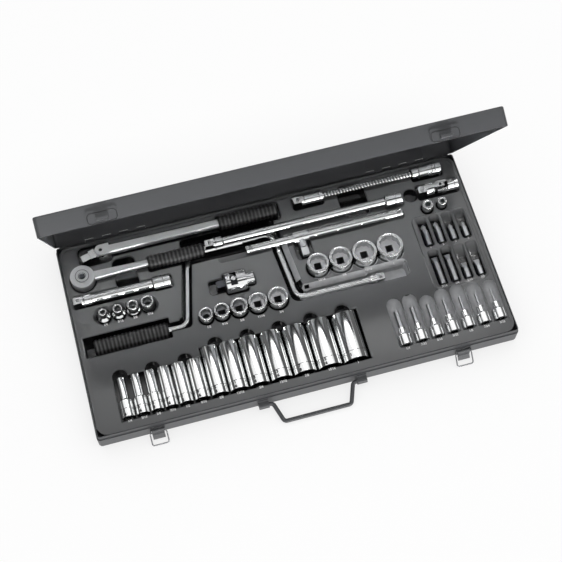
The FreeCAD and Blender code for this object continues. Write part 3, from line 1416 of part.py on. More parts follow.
def shallow_socket(sixteenths, height, x, y, top):
    """A twelve-point socket standing on its drive end, mouth up."""
    start = V(x, y, top - height)
    radius = outer_radius(sixteenths)
    drive = max(DRIVE_RADIUS, radius)
    profile = [(0, drive), (height, drive)]
    if radius < DRIVE_RADIUS:
        profile = [(0, drive), (DRIVE_LENGTH, drive), (DRIVE_LENGTH + drive - radius, radius), (height, radius)]
    star = star_bar(opening(sixteenths), OPENING_DEPTH, V(x, y, top - OPENING_DEPTH), Z)
    return turned(profile, start, Z).cut([star] + drive_hole(sixteenths, height, start, Z)).removeSplitter()


def row_places(sizes, x, gap):
    """The centres of touching sockets in a row, spaced by their own widths and a gap."""
    places = [x]
    for before, after in zip(sizes, sizes[1:]):
        half = max(DRIVE_RADIUS, outer_radius(before)) + max(DRIVE_RADIUS, outer_radius(after))
        places.append(places[-1] + half + gap)
    return places


def make_shallow_sockets():
    """Three rows of sockets standing in round wells."""
    rows = {}
    small_places = [SMALL_X + SMALL_PITCH * k for k in range(len(SMALL_SIZES))]
    for name, sizes, places, y, height, top, mouth in (
        ("small_sockets", SMALL_SIZES, small_places, SMALL_Y, SMALL_HEIGHT, SMALL_TOP, SMALL_FLARE),
        (
            "medium_sockets",
            MEDIUM_SIZES,
            row_places(MEDIUM_SIZES, MEDIUM_X, MEDIUM_GAP),
            MEDIUM_Y,
            MEDIUM_HEIGHT,
            MEDIUM_TOP,
            POCKET_MOUTH,
        ),
        (
            "large_sockets",
            LARGE_SIZES,
            row_places(LARGE_SIZES, LARGE_X, LARGE_GAP),
            LARGE_Y,
            LARGE_HEIGHT,
            LARGE_TOP,
            POCKET_MOUTH,
        ),
    ):
        rows[name] = []
        for size, x in zip(sizes, places):
            rows[name].append(shallow_socket(size, height, x, y, top))
            width = 2 * (max(DRIVE_RADIUS, outer_radius(size)) + SIDE)
            sink(x, y, width, width, top - height - SEAT, width / 2, 0.0, mouth)
    medium = rows.pop("medium_sockets")
    rows["medium_sockets_left"] = medium[:MEDIUM_SPLIT]
    rows["medium_sockets_right"] = medium[MEDIUM_SPLIT:]
    return rows


def make_deep_sockets():
    """A row of deep sockets lying in one stepped trough, mouths to the rear, with finger scallops behind."""
    places = row_places(DEEP_SIZES, DEEP_X, DEEP_GAP)
    sockets = []
    for k, (size, x) in enumerate(zip(DEEP_SIZES, places)):
        radius = outer_radius(size)
        drive = max(DRIVE_RADIUS, radius)
        length = DEEP_SHORT_LENGTH if k < DEEP_SHORT_COUNT else DEEP_LONG_LENGTH
        start = V(x, DEEP_DRIVE_Y, DEEP_TOP - drive)
        profile = [(0, drive), (length, drive)]
        if radius < DRIVE_RADIUS:
            collar_end = DEEP_COLLAR_LENGTH + drive - radius
            profile = [(0, drive), (DEEP_COLLAR_LENGTH, drive), (collar_end, radius), (length, radius)]
        hexagon = hexagon_bar(opening(size), DEEP_DEPTH, start + Y * (length - DEEP_DEPTH), Y)
        hollow = [hexagon] + drive_hole(size, length, start, Y)
        sockets.append(turned(profile, start, Y).cut(hollow).removeSplitter())
        half = drive + DEEP_GAP / 2 + SEAT
        low = DEEP_DRIVE_Y - 2 * SIDE
        high = DEEP_DRIVE_Y + length + 2 * SIDE
        sink(x, (low + high) / 2, 2 * half, high - low, DEEP_TOP - 2 * drive - SEAT, 0)
    step = (places[-1] - places[0]) / (SCALLOPS - 1)
    for k in range(SCALLOPS):
        x = places[0] + k * step
        long = x > (places[DEEP_SHORT_COUNT - 1] + places[DEEP_SHORT_COUNT]) / 2
        y = DEEP_DRIVE_Y + (DEEP_LONG_LENGTH if long else DEEP_SHORT_LENGTH) + 2 * SIDE
        sink(x, y, 2 * SCALLOP_RADIUS, 2 * SCALLOP_RADIUS, SCALLOP_FLOOR, SCALLOP_RADIUS)
    groups = {}
    names = ("smallest_deep_sockets", "small_deep_sockets", "medium_deep_sockets", "large_deep_sockets")
    for k, name in enumerate(names):
        groups[name] = sockets[k * DEEP_GROUP : (k + 1) * DEEP_GROUP if k < len(names) - 1 else None]
    return groups


def cross_bit(x, end_y, length):
    """A fluted cross bit lying tip to the rear."""
    start = V(x, end_y, BIT_Z)
    shank = hexagon_bar(BIT_HEX, length - BIT_TIP, start, Y)
    neck = BIT_HEX / 2 - CROSS_POINT
    tip = turned([(length - BIT_TIP, neck), (length - neck, neck), (length, CROSS_POINT)], start, Y)
    flutes = []
    for k in range(4):
        angle = math.radians(90 * k + 45)
        aside = V(math.cos(angle), 0, math.sin(angle)) * (neck + FLUTE_RADIUS / 2)
        flutes.append(rod(start + aside + Y * (length - BIT_TIP), Y, FLUTE_RADIUS, BIT_TIP))
    return shank.fuse(tip.cut(flutes)).removeSplitter()


def flat_bit(x, end_y, length):
    """A flat-bladed bit lying tip to the rear."""
    start = V(x, end_y, BIT_Z)
    shank = hexagon_bar(BIT_HEX, length - BIT_TIP, start, Y)
    half = BIT_HEX / 2
    thin = BLADE_THICKNESS / 2
    low = end_y + length - BIT_TIP
    outline = [
        V(x - half, low, BIT_Z - half),
        V(x - half, end_y + length, BIT_Z - thin),
        V(x - half, end_y + length, BIT_Z + thin),
        V(x - half, low, BIT_Z + half),
    ]
    wedge = Part.Face(Part.makePolygon(outline + outline[:1])).extrude(V(BIT_HEX, 0, 0))
    round_bar = rod(V(x, low, BIT_Z), Y, half, BIT_TIP)
    return shank.fuse(wedge.common(round_bar)).removeSplitter()


def make_bits():
    """Two rows of loose bits in slots, and two upright bit holders in a shared recess."""
    rows = {"cross_bits": [], "flat_bits": []}
    floor = BIT_Z - BIT_HEX / math.sqrt(3) - SEAT
    for name, shape, end_y, lengths in (
        ("cross_bits", cross_bit, CROSS_END_Y, CROSS_LENGTHS),
        ("flat_bits", flat_bit, FLAT_END_Y, FLAT_LENGTHS),
    ):
        for k, length in enumerate(lengths):
            x = BIT_X + k * BIT_PITCH
            rows[name].append(shape(x, end_y, length))
            low = end_y - BIT_SLOT_FOOT
            high = end_y + max(lengths) + BIT_SLOT_HEAD
            ramp = high - end_y - length - SIDE
            sink(x, (low + high) / 2, BIT_SLOT_WIDTH, high - low, floor, ramp=ramp, deck=DECK + PANEL_RISE)
    holders = []
    for x, radius, width in zip(HOLDER_X, HOLDER_RADII, HOLDER_HEX):
        start = V(x, HOLDER_Y, HOLDER_TOP - HOLDER_HEIGHT)
        body = rod(start, Z, radius, HOLDER_HEIGHT)
        hexagon = hexagon_bar(width, OPENING_DEPTH, start + Z * (HOLDER_HEIGHT - OPENING_DEPTH), Z)
        holders.append(body.cut(hexagon))
        well = 2 * (radius + SIDE)
        sink(x, HOLDER_Y, well, well, HOLDER_TOP - HOLDER_HEIGHT - SEAT, well / 2)
    return dict(rows, bit_holders=holders)


def make_bit_sockets():
    """Seven bit sockets lying in bullet-shaped pockets, bits to the rear."""
    holders, bits = [], []
    sizes = zip(BIT_SOCKET_WIDTHS, BIT_SOCKET_REACHES, BIT_SLOT_REACHES)
    for k, (width, reach, slot_reach) in enumerate(sizes):
        y = BIT_SOCKET_Y + k * BIT_SOCKET_STEP
        start = V(BIT_SOCKET_X + k * BIT_SOCKET_PITCH, y, BIT_SOCKET_Z)
        neck = BIT_SOCKET_NECK
        profile = [
            (0, BIT_SOCKET_RADIUS),
            (BIT_SOCKET_BODY, BIT_SOCKET_RADIUS),
            (BIT_SOCKET_BODY + BIT_SOCKET_RADIUS - neck, neck),
            (BIT_SOCKET_LENGTH, neck),
        ]
        inner = BIT_SOCKET_LENGTH - BIT_SOCKET_INSERT
        bit = hexagon_bar(width, reach - inner, start + Y * inner, Y)
        square = square_bar(SQUARE_BORE, DRIVE_LENGTH, start, Y)
        holders.append(turned(profile, start, Y).cut([bit, square]).removeSplitter())
        bits.append(bit)
        sink_bullet(start - Y * SIDE, slot_reach + SIDE, BIT_SOCKET_RADIUS + SIDE)
    return {"bit_socket_holders": holders, "bit_socket_bits": bits}


# Finger wells that cross several tools: centre, length, width and floor
FINGER_WELLS = (
    (-196.0, 76.0, 30.0, 52.0, 12.0),
    (126.0, 104.0, 38.0, 48.0, 12.0),
)


def make_tray():
    """The tray: a deck with a rim bead, a skirt down to the case floor and a cup under every pocket."""
    for x, y, length, width, floor in FINGER_WELLS:
        sink(x, y, length, width, floor, 2 * POCKET_CORNER)
    outer = slab(TRAY_LENGTH, TRAY_DEPTH, TRAY_CORNER, SHEET, DECK + TRAY_BEAD_RISE)
    inner = TRAY_LENGTH - 2 * TRAY_WALL
    under = slab(inner, TRAY_DEPTH - 2 * TRAY_WALL, TRAY_CORNER - TRAY_WALL, SHEET, DECK - TRAY_WALL)
    inner = TRAY_LENGTH - 2 * TRAY_BEAD_WIDTH
    field = slab(
        inner,
        TRAY_DEPTH - 2 * TRAY_BEAD_WIDTH,
        TRAY_CORNER - TRAY_BEAD_WIDTH,
        DECK,
        DECK + 2 * TRAY_BEAD_RISE,
    )
    shell = outer.cut([under, field])
    shell = shell.fuse(cups).common(outer)
    left = BIT_X - BIT_SLOT_WIDTH / 2 - PANEL_LEFT
    right = BIT_X + (len(CROSS_LENGTHS) - 1) * BIT_PITCH + BIT_SLOT_WIDTH / 2 + PANEL_SIDE
    front = FLAT_END_Y - BIT_SLOT_FOOT - PANEL_SIDE
    rear = CROSS_END_Y + max(CROSS_LENGTHS) + BIT_SLOT_HEAD + PANEL_SIDE
    foot = rounded(right - left, rear - front, PANEL_CORNER, DECK - TRAY_WALL / 2)
    shrink = 2 * PANEL_RISE
    head = rounded(right - left - shrink, rear - front - shrink, PANEL_CORNER - PANEL_RISE, DECK + PANEL_RISE)
    panel = Part.makeLoft([foot, head], True, True)
    panel.translate(V((left + right) / 2, (front + rear) / 2, 0))
    return [shell.fuse(panel).cut(wells).removeSplitter()]


def save(name, solids):
    """Writes one piece, or a group of like pieces, to its own file."""
    shape = solids[0] if len(solids) == 1 else Part.makeCompound(solids)
    shape.exportStep(os.path.join("parts", name + ".step"))


def main():
    """Builds every piece and writes it."""
    os.makedirs("parts", exist_ok=True)
    base_leaves, lid_leaves, hinge_pins = make_hinges()
    handle, brackets = make_handle()
    left, right = -LATCH_SPREAD / 2, LATCH_SPREAD / 2
    pieces = {
        "case_base": make_case_base(),
        "case_lid": make_case_lid(),
        "base_hinge_leaves": base_leaves,
        "lid_hinge_leaves": lid_leaves,
        "hinge_pins": hinge_pins,
        "latch_plates": [make_latch_plate(left), make_latch_plate(right)],
        "latch_pins": [make_latch_pin(left), make_latch_pin(right)],
        "left_latch_lever": [make_latch_lever(left)],
        "right_latch_lever": [make_latch_lever(right)],
        "left_latch_loop": [make_latch_loop(left)],
        "right_latch_loop": [make_latch_loop(right)],
        "lid_catches": make_lid_catches(),
        "carry_handle": handle,
        "handle_brackets": brackets,
    }
    for tool in (
        make_breaker,
        make_ratchet,
        make_extensions,
        make_tee,
        make_brace,
        make_flex,
        make_universal_joint,
        make_adaptor,
        make_shallow_sockets,
        make_deep_sockets,
        make_bits,
        make_bit_sockets,
    ):
        pieces.update(tool())
    pieces["tray"] = make_tray()
    for name, solids in pieces.items():
        save(name, solids)


if __name__ == "__main__":
    main()
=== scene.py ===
import json
import math

import bpy
from bpy.props import FloatProperty, FloatVectorProperty, IntProperty, PointerProperty
from mathutils import Matrix, Vector


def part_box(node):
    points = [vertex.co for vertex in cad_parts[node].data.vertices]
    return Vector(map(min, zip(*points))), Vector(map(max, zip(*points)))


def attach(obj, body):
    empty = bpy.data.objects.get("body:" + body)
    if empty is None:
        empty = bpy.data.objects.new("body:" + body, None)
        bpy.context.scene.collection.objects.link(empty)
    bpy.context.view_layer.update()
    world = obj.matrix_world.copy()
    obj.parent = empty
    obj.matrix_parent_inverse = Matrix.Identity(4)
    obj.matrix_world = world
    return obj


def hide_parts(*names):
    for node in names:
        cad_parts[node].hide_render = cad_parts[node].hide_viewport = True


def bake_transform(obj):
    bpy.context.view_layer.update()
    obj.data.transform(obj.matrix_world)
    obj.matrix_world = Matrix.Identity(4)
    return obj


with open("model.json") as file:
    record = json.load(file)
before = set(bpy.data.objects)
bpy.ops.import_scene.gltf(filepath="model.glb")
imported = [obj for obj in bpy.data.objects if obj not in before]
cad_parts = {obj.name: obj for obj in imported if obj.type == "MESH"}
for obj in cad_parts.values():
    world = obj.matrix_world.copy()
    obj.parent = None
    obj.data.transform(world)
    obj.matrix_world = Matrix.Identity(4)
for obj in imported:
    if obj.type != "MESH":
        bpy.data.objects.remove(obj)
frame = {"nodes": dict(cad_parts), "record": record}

bl_info = {
    "name": "Socket Set in Case",
    "version": (1, 0, 0),
    "blender": (4, 5, 0),
    "location": "View3D > Sidebar > Socket Set",
    "description": "Finishes a socket wrench set lying in its hinged case, and sets up its studio",
    "category": "Object",
}

MM = 0.001
X, Y, Z = range(3)
NODES = frame["nodes"]
RECORD = frame["record"]
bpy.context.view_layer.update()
BODY_OF = {node: body for body, group in RECORD["behaviour"]["bodies"].items() for node in group}

# The solids' own measures that the finishing follows.
DECK = 29.0 * MM
PANEL = 30.6 * MM
LID_OPEN = math.radians(65.5)
KNUCKLES = 7
RIB_DEPTH = 0.9 * MM

# How a solid's mesh is cleaned, rounded and shaded.
MERGE = 0.002 * MM
COPLANAR = math.radians(0.6)
CREASE = math.radians(32)
SMOOTH = math.radians(40)
SHEET_EDGE = 0.3 * MM
WIRE_EDGE = 0.2 * MM
TRAY_EDGE = 0.5 * MM
RUBBER_EDGE = 0.25 * MM
FINE_EDGE = 0.15 * MM
END_BAND = 0.6 * MM
HOOP_SIDES = 10
HOOP_STEPS = 48
HOOP_MERGE = 0.005 * MM

# The lid's added forms, and the painted shade round its catch pads.
ROLL_RADIUS = 2.7 * MM
ROLL_SIDES = 24
ROLL_INSET = 6 * MM
ROLL_GAP = 0.4 * MM
LIP_BEHIND, LIP_ABOVE = -3.6 * MM, 3.85 * MM
LIP_THICK, LIP_HIGH = 1.2 * MM, 2.5 * MM
PAD_SHADE_SIZE = (34 * MM, 12 * MM, 1)
PAD_SHADE_CORNER = 4 * MM
PAD_SHADE_RADIUS = 0.4 * MM
PAD_SHADE_ABOVE = 6.6 * MM

# The tray's thinly drawn regions, its skirt in painted shade, and the flanks of the brace's pocket. Each
# flank has a line along the pocket's middle and half the pocket's width there, in millimetres.
DRAWN, PAINTED_SKIRT_SHADE = 1, 2
DRAWN_BELOW = 0.3 * MM
BIT_MARGIN = 4 * MM
BIT_REAR = 3 * MM
ARM_START, ARM_REACH = 44 * MM, 126 * MM
ARM_FRONT, ARM_REAR = 6 * MM, 30 * MM
SKIRT_REACH = 0.8 * MM
SKIRT_SLOPE = 0.8
FLANK_FOOT, FLANK_RISE = 22.5 * MM, 6.5 * MM
FLANK_LIFT = 0.08 * MM
FLANK_SHEET = 1.0 * MM
FLANKS = (
    ((34, -12.6), (111, -12.6), 6.5),
    ((111, -12.6), (166, -12.6), 8.5),
    ((7.9, 66), (12.8, 8), 6.5),
)

# The tools' turned lines, in millimetres in from the left end and the right end.
TURNED_LINES = (
    ("tee_bar", (5, 8), (5, 8)),
    ("long_extension", (14,), (9,)),
    ("short_extension", (14,), (9,)),
    ("flex_socket_end", (9,), (8, 12)),
    ("flex_drive_end", (15,), (4,)),
    ("joint_female_yoke", (), (5,)),
)
LINE_SECTION = {"width": 0.1 * MM, "height": 0.7 * MM}
# The drive squares with a detent, and whether the square is at the right end.
DETENTS = (
    ("flex_drive_end", False),
    ("joint_male_yoke", False),
    ("short_extension", False),
    ("long_extension", False),
    ("brace_crank", True),
)
DETENT_IN = 6 * MM
DETENT_FIRST, DETENT_LAST = 0.8 * MM, 11 * MM
DETENT_RADIUS = 1.7 * MM
DETENT_SECTION = {"width": 0.8 * MM, "height": 0.16 * MM}
BALL_RADIUS = 0.5 * MM
BALL_SECTION = {"width": 0.5 * MM, "height": 0.2 * MM}
DIAL_SHARES = (0.97, 0.5)
DIAL_SECTION = {"width": 0.7 * MM, "height": 0.12 * MM}

# The sockets' insides, rims and stamps, the flexible shaft, and the printed marks.
WALL, FLOOR = 1, 2
INSIDE_SHARE, INSIDE_LEAN = 0.9, 0.1
FLOOR_SLOPE = 0.9
MOUTH_DEPTH, MOUTH_SLOPE = 0.5 * MM, 0.5
RIM_BELOW, RIM_INSET = 0.1 * MM, 0.75 * MM
RIM_SECTION = {"width": 1.6 * MM, "height": 0.9 * MM}
STAMP_SECTION = {"width": 0.4 * MM, "height": 0.7 * MM}
STAMP_AROUND = math.radians(24)
STAMP_LINE_IN, STAMP_BACK = 11 * MM, 5.4 * MM
STAMP_SHARE, STAMP_LARGEST = 0.7, 5.4 * MM
STAMP_BOLD, STAMP_THICK = 0.3 * MM, 0.3 * MM
WIRE_SIDES, WIRE_STEPS, WIRE_SHARE = 10, 20, 0.42
CORE_SIDES, CORE_STEPS = 16, 24
MARK_LIFT, MARK_BOLD, MARK_THICK = 0.03 * MM, 0.14 * MM, 0.04 * MM
DECK_AHEAD, PANEL_AHEAD = 4.5 * MM, 4.0 * MM
DEEP_NAMES = "1/4 5/16 3/8 7/16 1/2 9/16 5/8 11/16 3/4 13/16 7/8 15/16 1"

# The studio: its floor with a painted contact shadow, the world's tent of light with one dark gap, and the
# camera.
FLOOR_SIZE = 6.0
FLOOR_GLOW = 0.97
CONTACT_REACH, CONTACT_DARKEST, CONTACT_LIGHT = 0.16, 0.4, 0.84
TENT = {"From Min": 0.6, "From Max": 0.75, "To Min": 1.0, "To Max": 0.12}
GAP_MIDDLE, GAP_HALF, GAP_LOSS = -0.36, 0.15, 0.95
WORLD_GLOW, BACKDROP = 0.02, 1.0
SENSOR, CLIP_START = 36, 0.05

# The nodes that share a finish.
PAINTED = (
    "case_base",
    "case_lid",
    "base_hinge_leaves",
    "lid_hinge_leaves",
    "lid_catches",
    "handle_brackets",
    "latch_plates",
    "left_latch_lever",
    "right_latch_lever",
    "carry_handle",
)
NICKELLED = ("hinge_pins", "latch_pins", "left_latch_loop", "right_latch_loop")
SATIN = ("ratchet_body", "ratchet_reversing_dial", "ratchet_cover")
CHROMED = (
    "ratchet_drive_gear",
    "breaker_drive_head",
    "long_extension",
    "short_extension",
    "tee_bar",
    "tee_head",
    "brace_crank",
    "brace_crank_sleeve",
    "flex_drive_end",
    "flex_socket_end",
    "joint_male_yoke",
    "joint_female_yoke",
    "adaptor_body",
    "adaptor_shift_button",
)
GRIPS = ("ratchet_grip", "breaker_grip", "brace_end_grip")
DARK = (
    "ratchet_release_button",
    "ratchet_pawl",
    "breaker_pivot_pin",
    "joint_block",
    "joint_pins",
    "adaptor_drive",
)
MEDIUM_ROW = ("medium_sockets_left", "medium_sockets_right")
STANDING = ("small_sockets", *MEDIUM_ROW, "large_sockets")
WIDE = ("medium_sockets_right", "large_sockets")
DEEP = ("smallest_deep_sockets", "small_deep_sockets", "medium_deep_sockets", "large_deep_sockets")
BITS = ("bit_socket_bits", "cross_bits", "flat_bits")


def linear(code):
    """A linear colour from an sRGB hex code."""
    parts = [int(code[k : k + 2], 16) / 255 for k in (0, 2, 4)]
    return tuple(c / 12.92 if c <= 0.04045 else ((c + 0.055) / 1.055) ** 2.4 for c in parts)


class SocketSetColours(bpy.types.PropertyGroup):
    """Colours of the set's finishes."""

    enamel: FloatVectorProperty(
        name="Case enamel",
        description="Paint of the case",
        subtype="COLOR",
        default=linear("47484a"),
        min=0,
        max=1,
    )
    tray: FloatVectorProperty(
        name="Tray",
        description="Plastic of the deck",
        subtype="COLOR",
        default=linear("606162"),
        min=0,
        max=1,
    )
    # Painted shade: the colour the tray darkens to down in its pockets and on its skirt.
    painted_pocket_shade: FloatVectorProperty(
        name="Pockets",
        description="Plastic in the pockets",
        subtype="COLOR",
        default=linear("101011"),
        min=0,
        max=1,
    )
    chrome: FloatVectorProperty(
        name="Chrome",
        description="Plating of the tools",
        subtype="COLOR",
        default=linear("f0f1f1"),
        min=0,
        max=1,
    )
    satin: FloatVectorProperty(
        name="Satin chrome",
        description="Plating of the handles",
        subtype="COLOR",
        default=linear("cfd0d1"),
        min=0,
        max=1,
    )
    # The rubber's grey on the tops of the ribs; painted shade takes it to black in the grooves.
    rubber: FloatVectorProperty(
        name="Grips",
        description="Rubber of the grips",
        subtype="COLOR",
        default=linear("4c4c4c"),
        min=0,
        max=1,
    )
    print_white: FloatVectorProperty(
        name="Size marks",
        description="Ink of the size marks",
        subtype="COLOR",
        default=linear("f6f6f6"),
        min=0,
        max=1,
    )


class SocketSetSizes(bpy.types.PropertyGroup):
    """Sizes of the details that the finishing adds."""

    edge: FloatProperty(
        name="Edge rounding",
        description="Rounding of plated edges",
        subtype="DISTANCE",
        default=0.35 * MM,
        min=0,
    )
    turns: IntProperty(
        name="Winding turns",
        description="Turns of the flexible shaft's winding",
        default=30,
        min=4,
    )
    mark_height: FloatProperty(
        name="Size mark height",
        description="Height of printed numbers",
        subtype="DISTANCE",
        default=4.2 * MM,
        min=0,
    )


class SocketSetStage(bpy.types.PropertyGroup):
    """Where the camera stands and how strong the lights are."""

    azimuth: FloatProperty(
        name="Azimuth",
        description="Camera's turn round the case",
        subtype="ANGLE",
        default=math.radians(-14.893),
    )
    elevation: FloatProperty(
        name="Elevation",
        description="Camera's height angle",
        subtype="ANGLE",
        default=math.radians(65.303),
    )
    roll: FloatProperty(
        name="Roll",
        description="Camera's roll",
        subtype="ANGLE",
        default=math.radians(-0.372),
    )
    distance: FloatProperty(
        name="Distance",
        description="Camera to the case's middle",
        subtype="DISTANCE",
        default=1672.1 * MM,
    )
    aside: FloatProperty(
        name="Aside",
        description="Camera's shift to its left",
        subtype="DISTANCE",
        default=3.8 * MM,
    )
    rise: FloatProperty(
        name="Rise",
        description="Camera's shift upwards",
        subtype="DISTANCE",
        default=23.2 * MM,
    )
    lens: FloatProperty(
        name="Lens",
        description="Focal length in millimetres",
        default=80.05,
        min=1,
    )
    key_power: FloatProperty(
        name="Overhead softbox",
        description="Power of the overhead softbox",
        default=12.0,
        min=0,
    )
    front_power: FloatProperty(
        name="Front softbox",
        description="Power of the front softbox",
        default=32.0,
        min=0,
    )
    rear_power: FloatProperty(
        name="Rear softbox",
        description="Power of the softbox over the lid",
        default=1.5,
        min=0,
    )
    glint_power: FloatProperty(
        name="Glint lamps",
        description="Power of each small bare lamp",
        default=1.2,
        min=0,
    )
    lid_power: FloatProperty(
        name="Lid softbox",
        description="Power of the gridded softbox on the lid",
        default=2.6,
        min=0,
    )


def settings():
    """The scene's settings of this add-on."""
    scene = bpy.context.scene
    return scene.socket_set_colours, scene.socket_set_sizes, scene.socket_set_stage


def add(tree, kind, inputs=None, **values):
    """A node with its settings, its socket values and its links."""
    node = tree.nodes.new(kind)
    for name, value in values.items():
        setattr(node, name, value)
    for socket, value in (inputs or {}).items():
        if isinstance(value, bpy.types.NodeSocket):
            tree.links.new(value, node.inputs[socket])
        else:
            node.inputs[socket].default_value = value
    return node


def surface(name):
    """A new material's tree, its shader and its place coordinates."""
    material = bpy.data.materials.new(name)
    material.use_nodes = True
    tree = material.node_tree
    shader = tree.nodes["Principled BSDF"]
    place = add(tree, "ShaderNodeTexCoord").outputs["Object"]
    return material, tree, shader, place


def noise(tree, place, span, detail):
    """A cloudy pattern whose clouds are about one span wide."""
    inputs = {"Vector": place, "Scale": 1 / span, "Detail": detail}
    return add(tree, "ShaderNodeTexNoise", inputs).outputs["Fac"]


def rescale(tree, value, limits):
    """A value brought to new limits."""
    return add(tree, "ShaderNodeMapRange", {"Value": value, **limits}).outputs["Result"]


def compute(tree, operation, *values, **options):
    """The result of one sum on sockets and numbers."""
    return add(tree, "ShaderNodeMath", dict(enumerate(values)), operation=operation, **options).outputs[0]


def roughen(tree, shader, pattern, low, high):
    """Lets a pattern vary how rough a surface is."""
    rough = rescale(tree, pattern, {"To Min": low, "To Max": high})
    tree.links.new(rough, shader.inputs["Roughness"])


def emboss(tree, shader, pattern, strength, depth):
    """Lets a pattern raise and sink a surface."""
    bump = add(tree, "ShaderNodeBump", {"Height": pattern, "Strength": strength, "Distance": depth})
    tree.links.new(bump.outputs["Normal"], shader.inputs["Normal"])


def tint(tree, shader, pattern, first, second):
    """Lets a pattern take a surface from one colour to another."""
    inputs = {"Factor": pattern, "A": (*first, 1), "B": (*second, 1)}
    tone = add(tree, "ShaderNodeMix", inputs, data_type="RGBA")
    tree.links.new(tone.outputs["Result"], shader.inputs["Base Color"])


def metal(shader, colour, share=1.0):
    """Makes a surface metal, or metal for a share and frosted for the rest."""
    shader.inputs["Base Color"].default_value = (*colour, 1)
    shader.inputs["Metallic"].default_value = share


def enamel():
    """Grey stoving enamel on sheet steel: sprayed, so a faint orange peel breaks its gloss."""
    material, tree, shader, place = surface("stoving_enamel")
    shader.inputs["Base Color"].default_value = (*settings()[0].enamel, 1)
    peel = noise(tree, place, span=3.0 * MM, detail=2.0)
    emboss(tree, shader, peel, strength=0.06, depth=0.2 * MM)
    cloud = noise(tree, place, span=45 * MM, detail=3.0)
    roughen(tree, shader, cloud, low=0.36, high=0.46)
    return material


def tray_plastic(name, deck):
    """Black polyethylene, vacuum formed and glossy: grey on the deck, with painted shade that darkens it
    towards black down in its pockets.
    """
    material, tree, shader, place = surface(name)
    height = add(tree, "ShaderNodeSeparateXYZ", {"Vector": place}).outputs["Z"]
    # Painted shade: the deck's grey darkens towards black with depth below the deck.
    painted_shade_mix = rescale(tree, height, {"From Min": DECK - 5 * MM, "From Max": DECK - 0.4 * MM})
    tint(tree, shader, painted_shade_mix, settings()[0].painted_pocket_shade, deck)
    grain = noise(tree, place, span=1.4 * MM, detail=2.0)
    emboss(tree, shader, grain, strength=0.04, depth=0.15 * MM)
    cloud = noise(tree, place, span=60 * MM, detail=3.0)
    roughen(tree, shader, cloud, low=0.1, high=0.17)
    return material


def drawn_plastic():
    """The same sheet where a deep pocket has drawn it thin: clouded grey, with a wet gloss."""
    material, tree, shader, place = surface("drawn_polyethylene")
    cloud = noise(tree, place, span=7 * MM, detail=3.0)
    tint(tree, shader, cloud, linear("9c9d9f"), linear("c6c7c9"))
    roughen(tree, shader, cloud, low=0.06, high=0.14)
    return material


def polished_chrome():
    """Chrome plate over polished steel: mirror bands with the faint waves that buffing leaves."""
    material, tree, shader, place = surface("polished_chrome_plate")
    metal(shader, settings()[0].chrome)
    wave = noise(tree, place, span=9 * MM, detail=1.0)
    emboss(tree, shader, wave, strength=0.004, depth=0.3 * MM)
    smear = noise(tree, place, span=14 * MM, detail=3.0)
    roughen(tree, shader, smear, low=0.06, high=0.1)
    return material


def satin_chrome(name, plate):
    """Chrome over blasted steel: a frosted grain, drawn coarser than life so that it shows."""
    material, tree, shader, place = surface(name)
    metal(shader, plate, share=0.78)
    grain = noise(tree, place, span=1.6 * MM, detail=2.0)
    emboss(tree, shader, grain, strength=0.25, depth=0.2 * MM)
    roughen(tree, shader, grain, low=0.3, high=0.42)
    return material


def satin_tool_steel():
    """Bead-blasted tool steel, clear nickel over it: mid grey and evenly frosted."""
    material, tree, shader, place = surface("blasted_tool_steel")
    metal(shader, linear("a3a4a6"))
    grain = noise(tree, place, span=1.6 * MM, detail=2.0)
    emboss(tree, shader, grain, strength=0.2, depth=0.2 * MM)
    roughen(tree, shader, grain, low=0.26, high=0.4)
    return material


def bright_nickel():
    """Nickel plate on stamped sheet and wire: bright but softer than the tools' chrome."""
    material, tree, shader, place = surface("bright_nickel_plate")
    metal(shader, linear("8b8c8e"))
    smear = noise(tree, place, span=6 * MM, detail=3.0)
    roughen(tree, shader, smear, low=0.14, high=0.26)
    return material


def grip_rubber():
    """Moulded black rubber: grey on the tops of its ribs, with painted shade black in the grooves between
    them.
    """
    material, tree, shader, place = surface("moulded_rubber")
    # Painted shade: black in the grooves between the ribs, grey on their tops.
    rib = add(tree, "ShaderNodeAttribute", attribute_name="rib").outputs["Fac"]
    painted_shade_mix = rescale(tree, rib, {"From Min": 0.3, "From Max": 0.9})
    tint(tree, shader, painted_shade_mix, linear("030303"), settings()[0].rubber)
    grain = noise(tree, place, span=1.2 * MM, detail=2.0)
    emboss(tree, shader, grain, strength=0.15, depth=0.15 * MM)
    roughen(tree, shader, grain, low=0.32, high=0.46)
    return material


def dark_steel():
    """Hardened steel with a thin oxide: dark grey and oily smooth."""
    material, tree, shader, place = surface("oxide_steel")
    metal(shader, linear("3c3d40"))
    smear = noise(tree, place, span=5 * MM, detail=3.0)
    roughen(tree, shader, smear, low=0.25, high=0.4)
    return material


def broached_steel():
    """Steel inside a socket, broached and thinly plated: grey, and unevenly matt where the broach dragged."""
    material, tree, shader, place = surface("broached_steel")
    metal(shader, linear("b4b5b7"))
    drag = noise(tree, place, span=1.5 * MM, detail=2.0)
    roughen(tree, shader, drag, low=0.3, high=0.5)
    return material


def bored_steel():
    """The flat floor of a wide socket, bored and plated: pale and softly frosted."""
    material, tree, shader, place = surface("bored_steel")
    metal(shader, linear("f2f2f3"), share=0.7)
    turn = noise(tree, place, span=2 * MM, detail=2.0)
    roughen(tree, shader, turn, low=0.4, high=0.55)
    return material


def printed_ink():
    """White pad-printing ink: matt, with a slightly uneven sheen."""
    material, tree, shader, place = surface("printed_ink")
    shader.inputs["Base Color"].default_value = (*settings()[0].print_white, 1)
    speck = noise(tree, place, span=0.8 * MM, detail=1.0)
    roughen(tree, shader, speck, low=0.5, high=0.7)
    return material


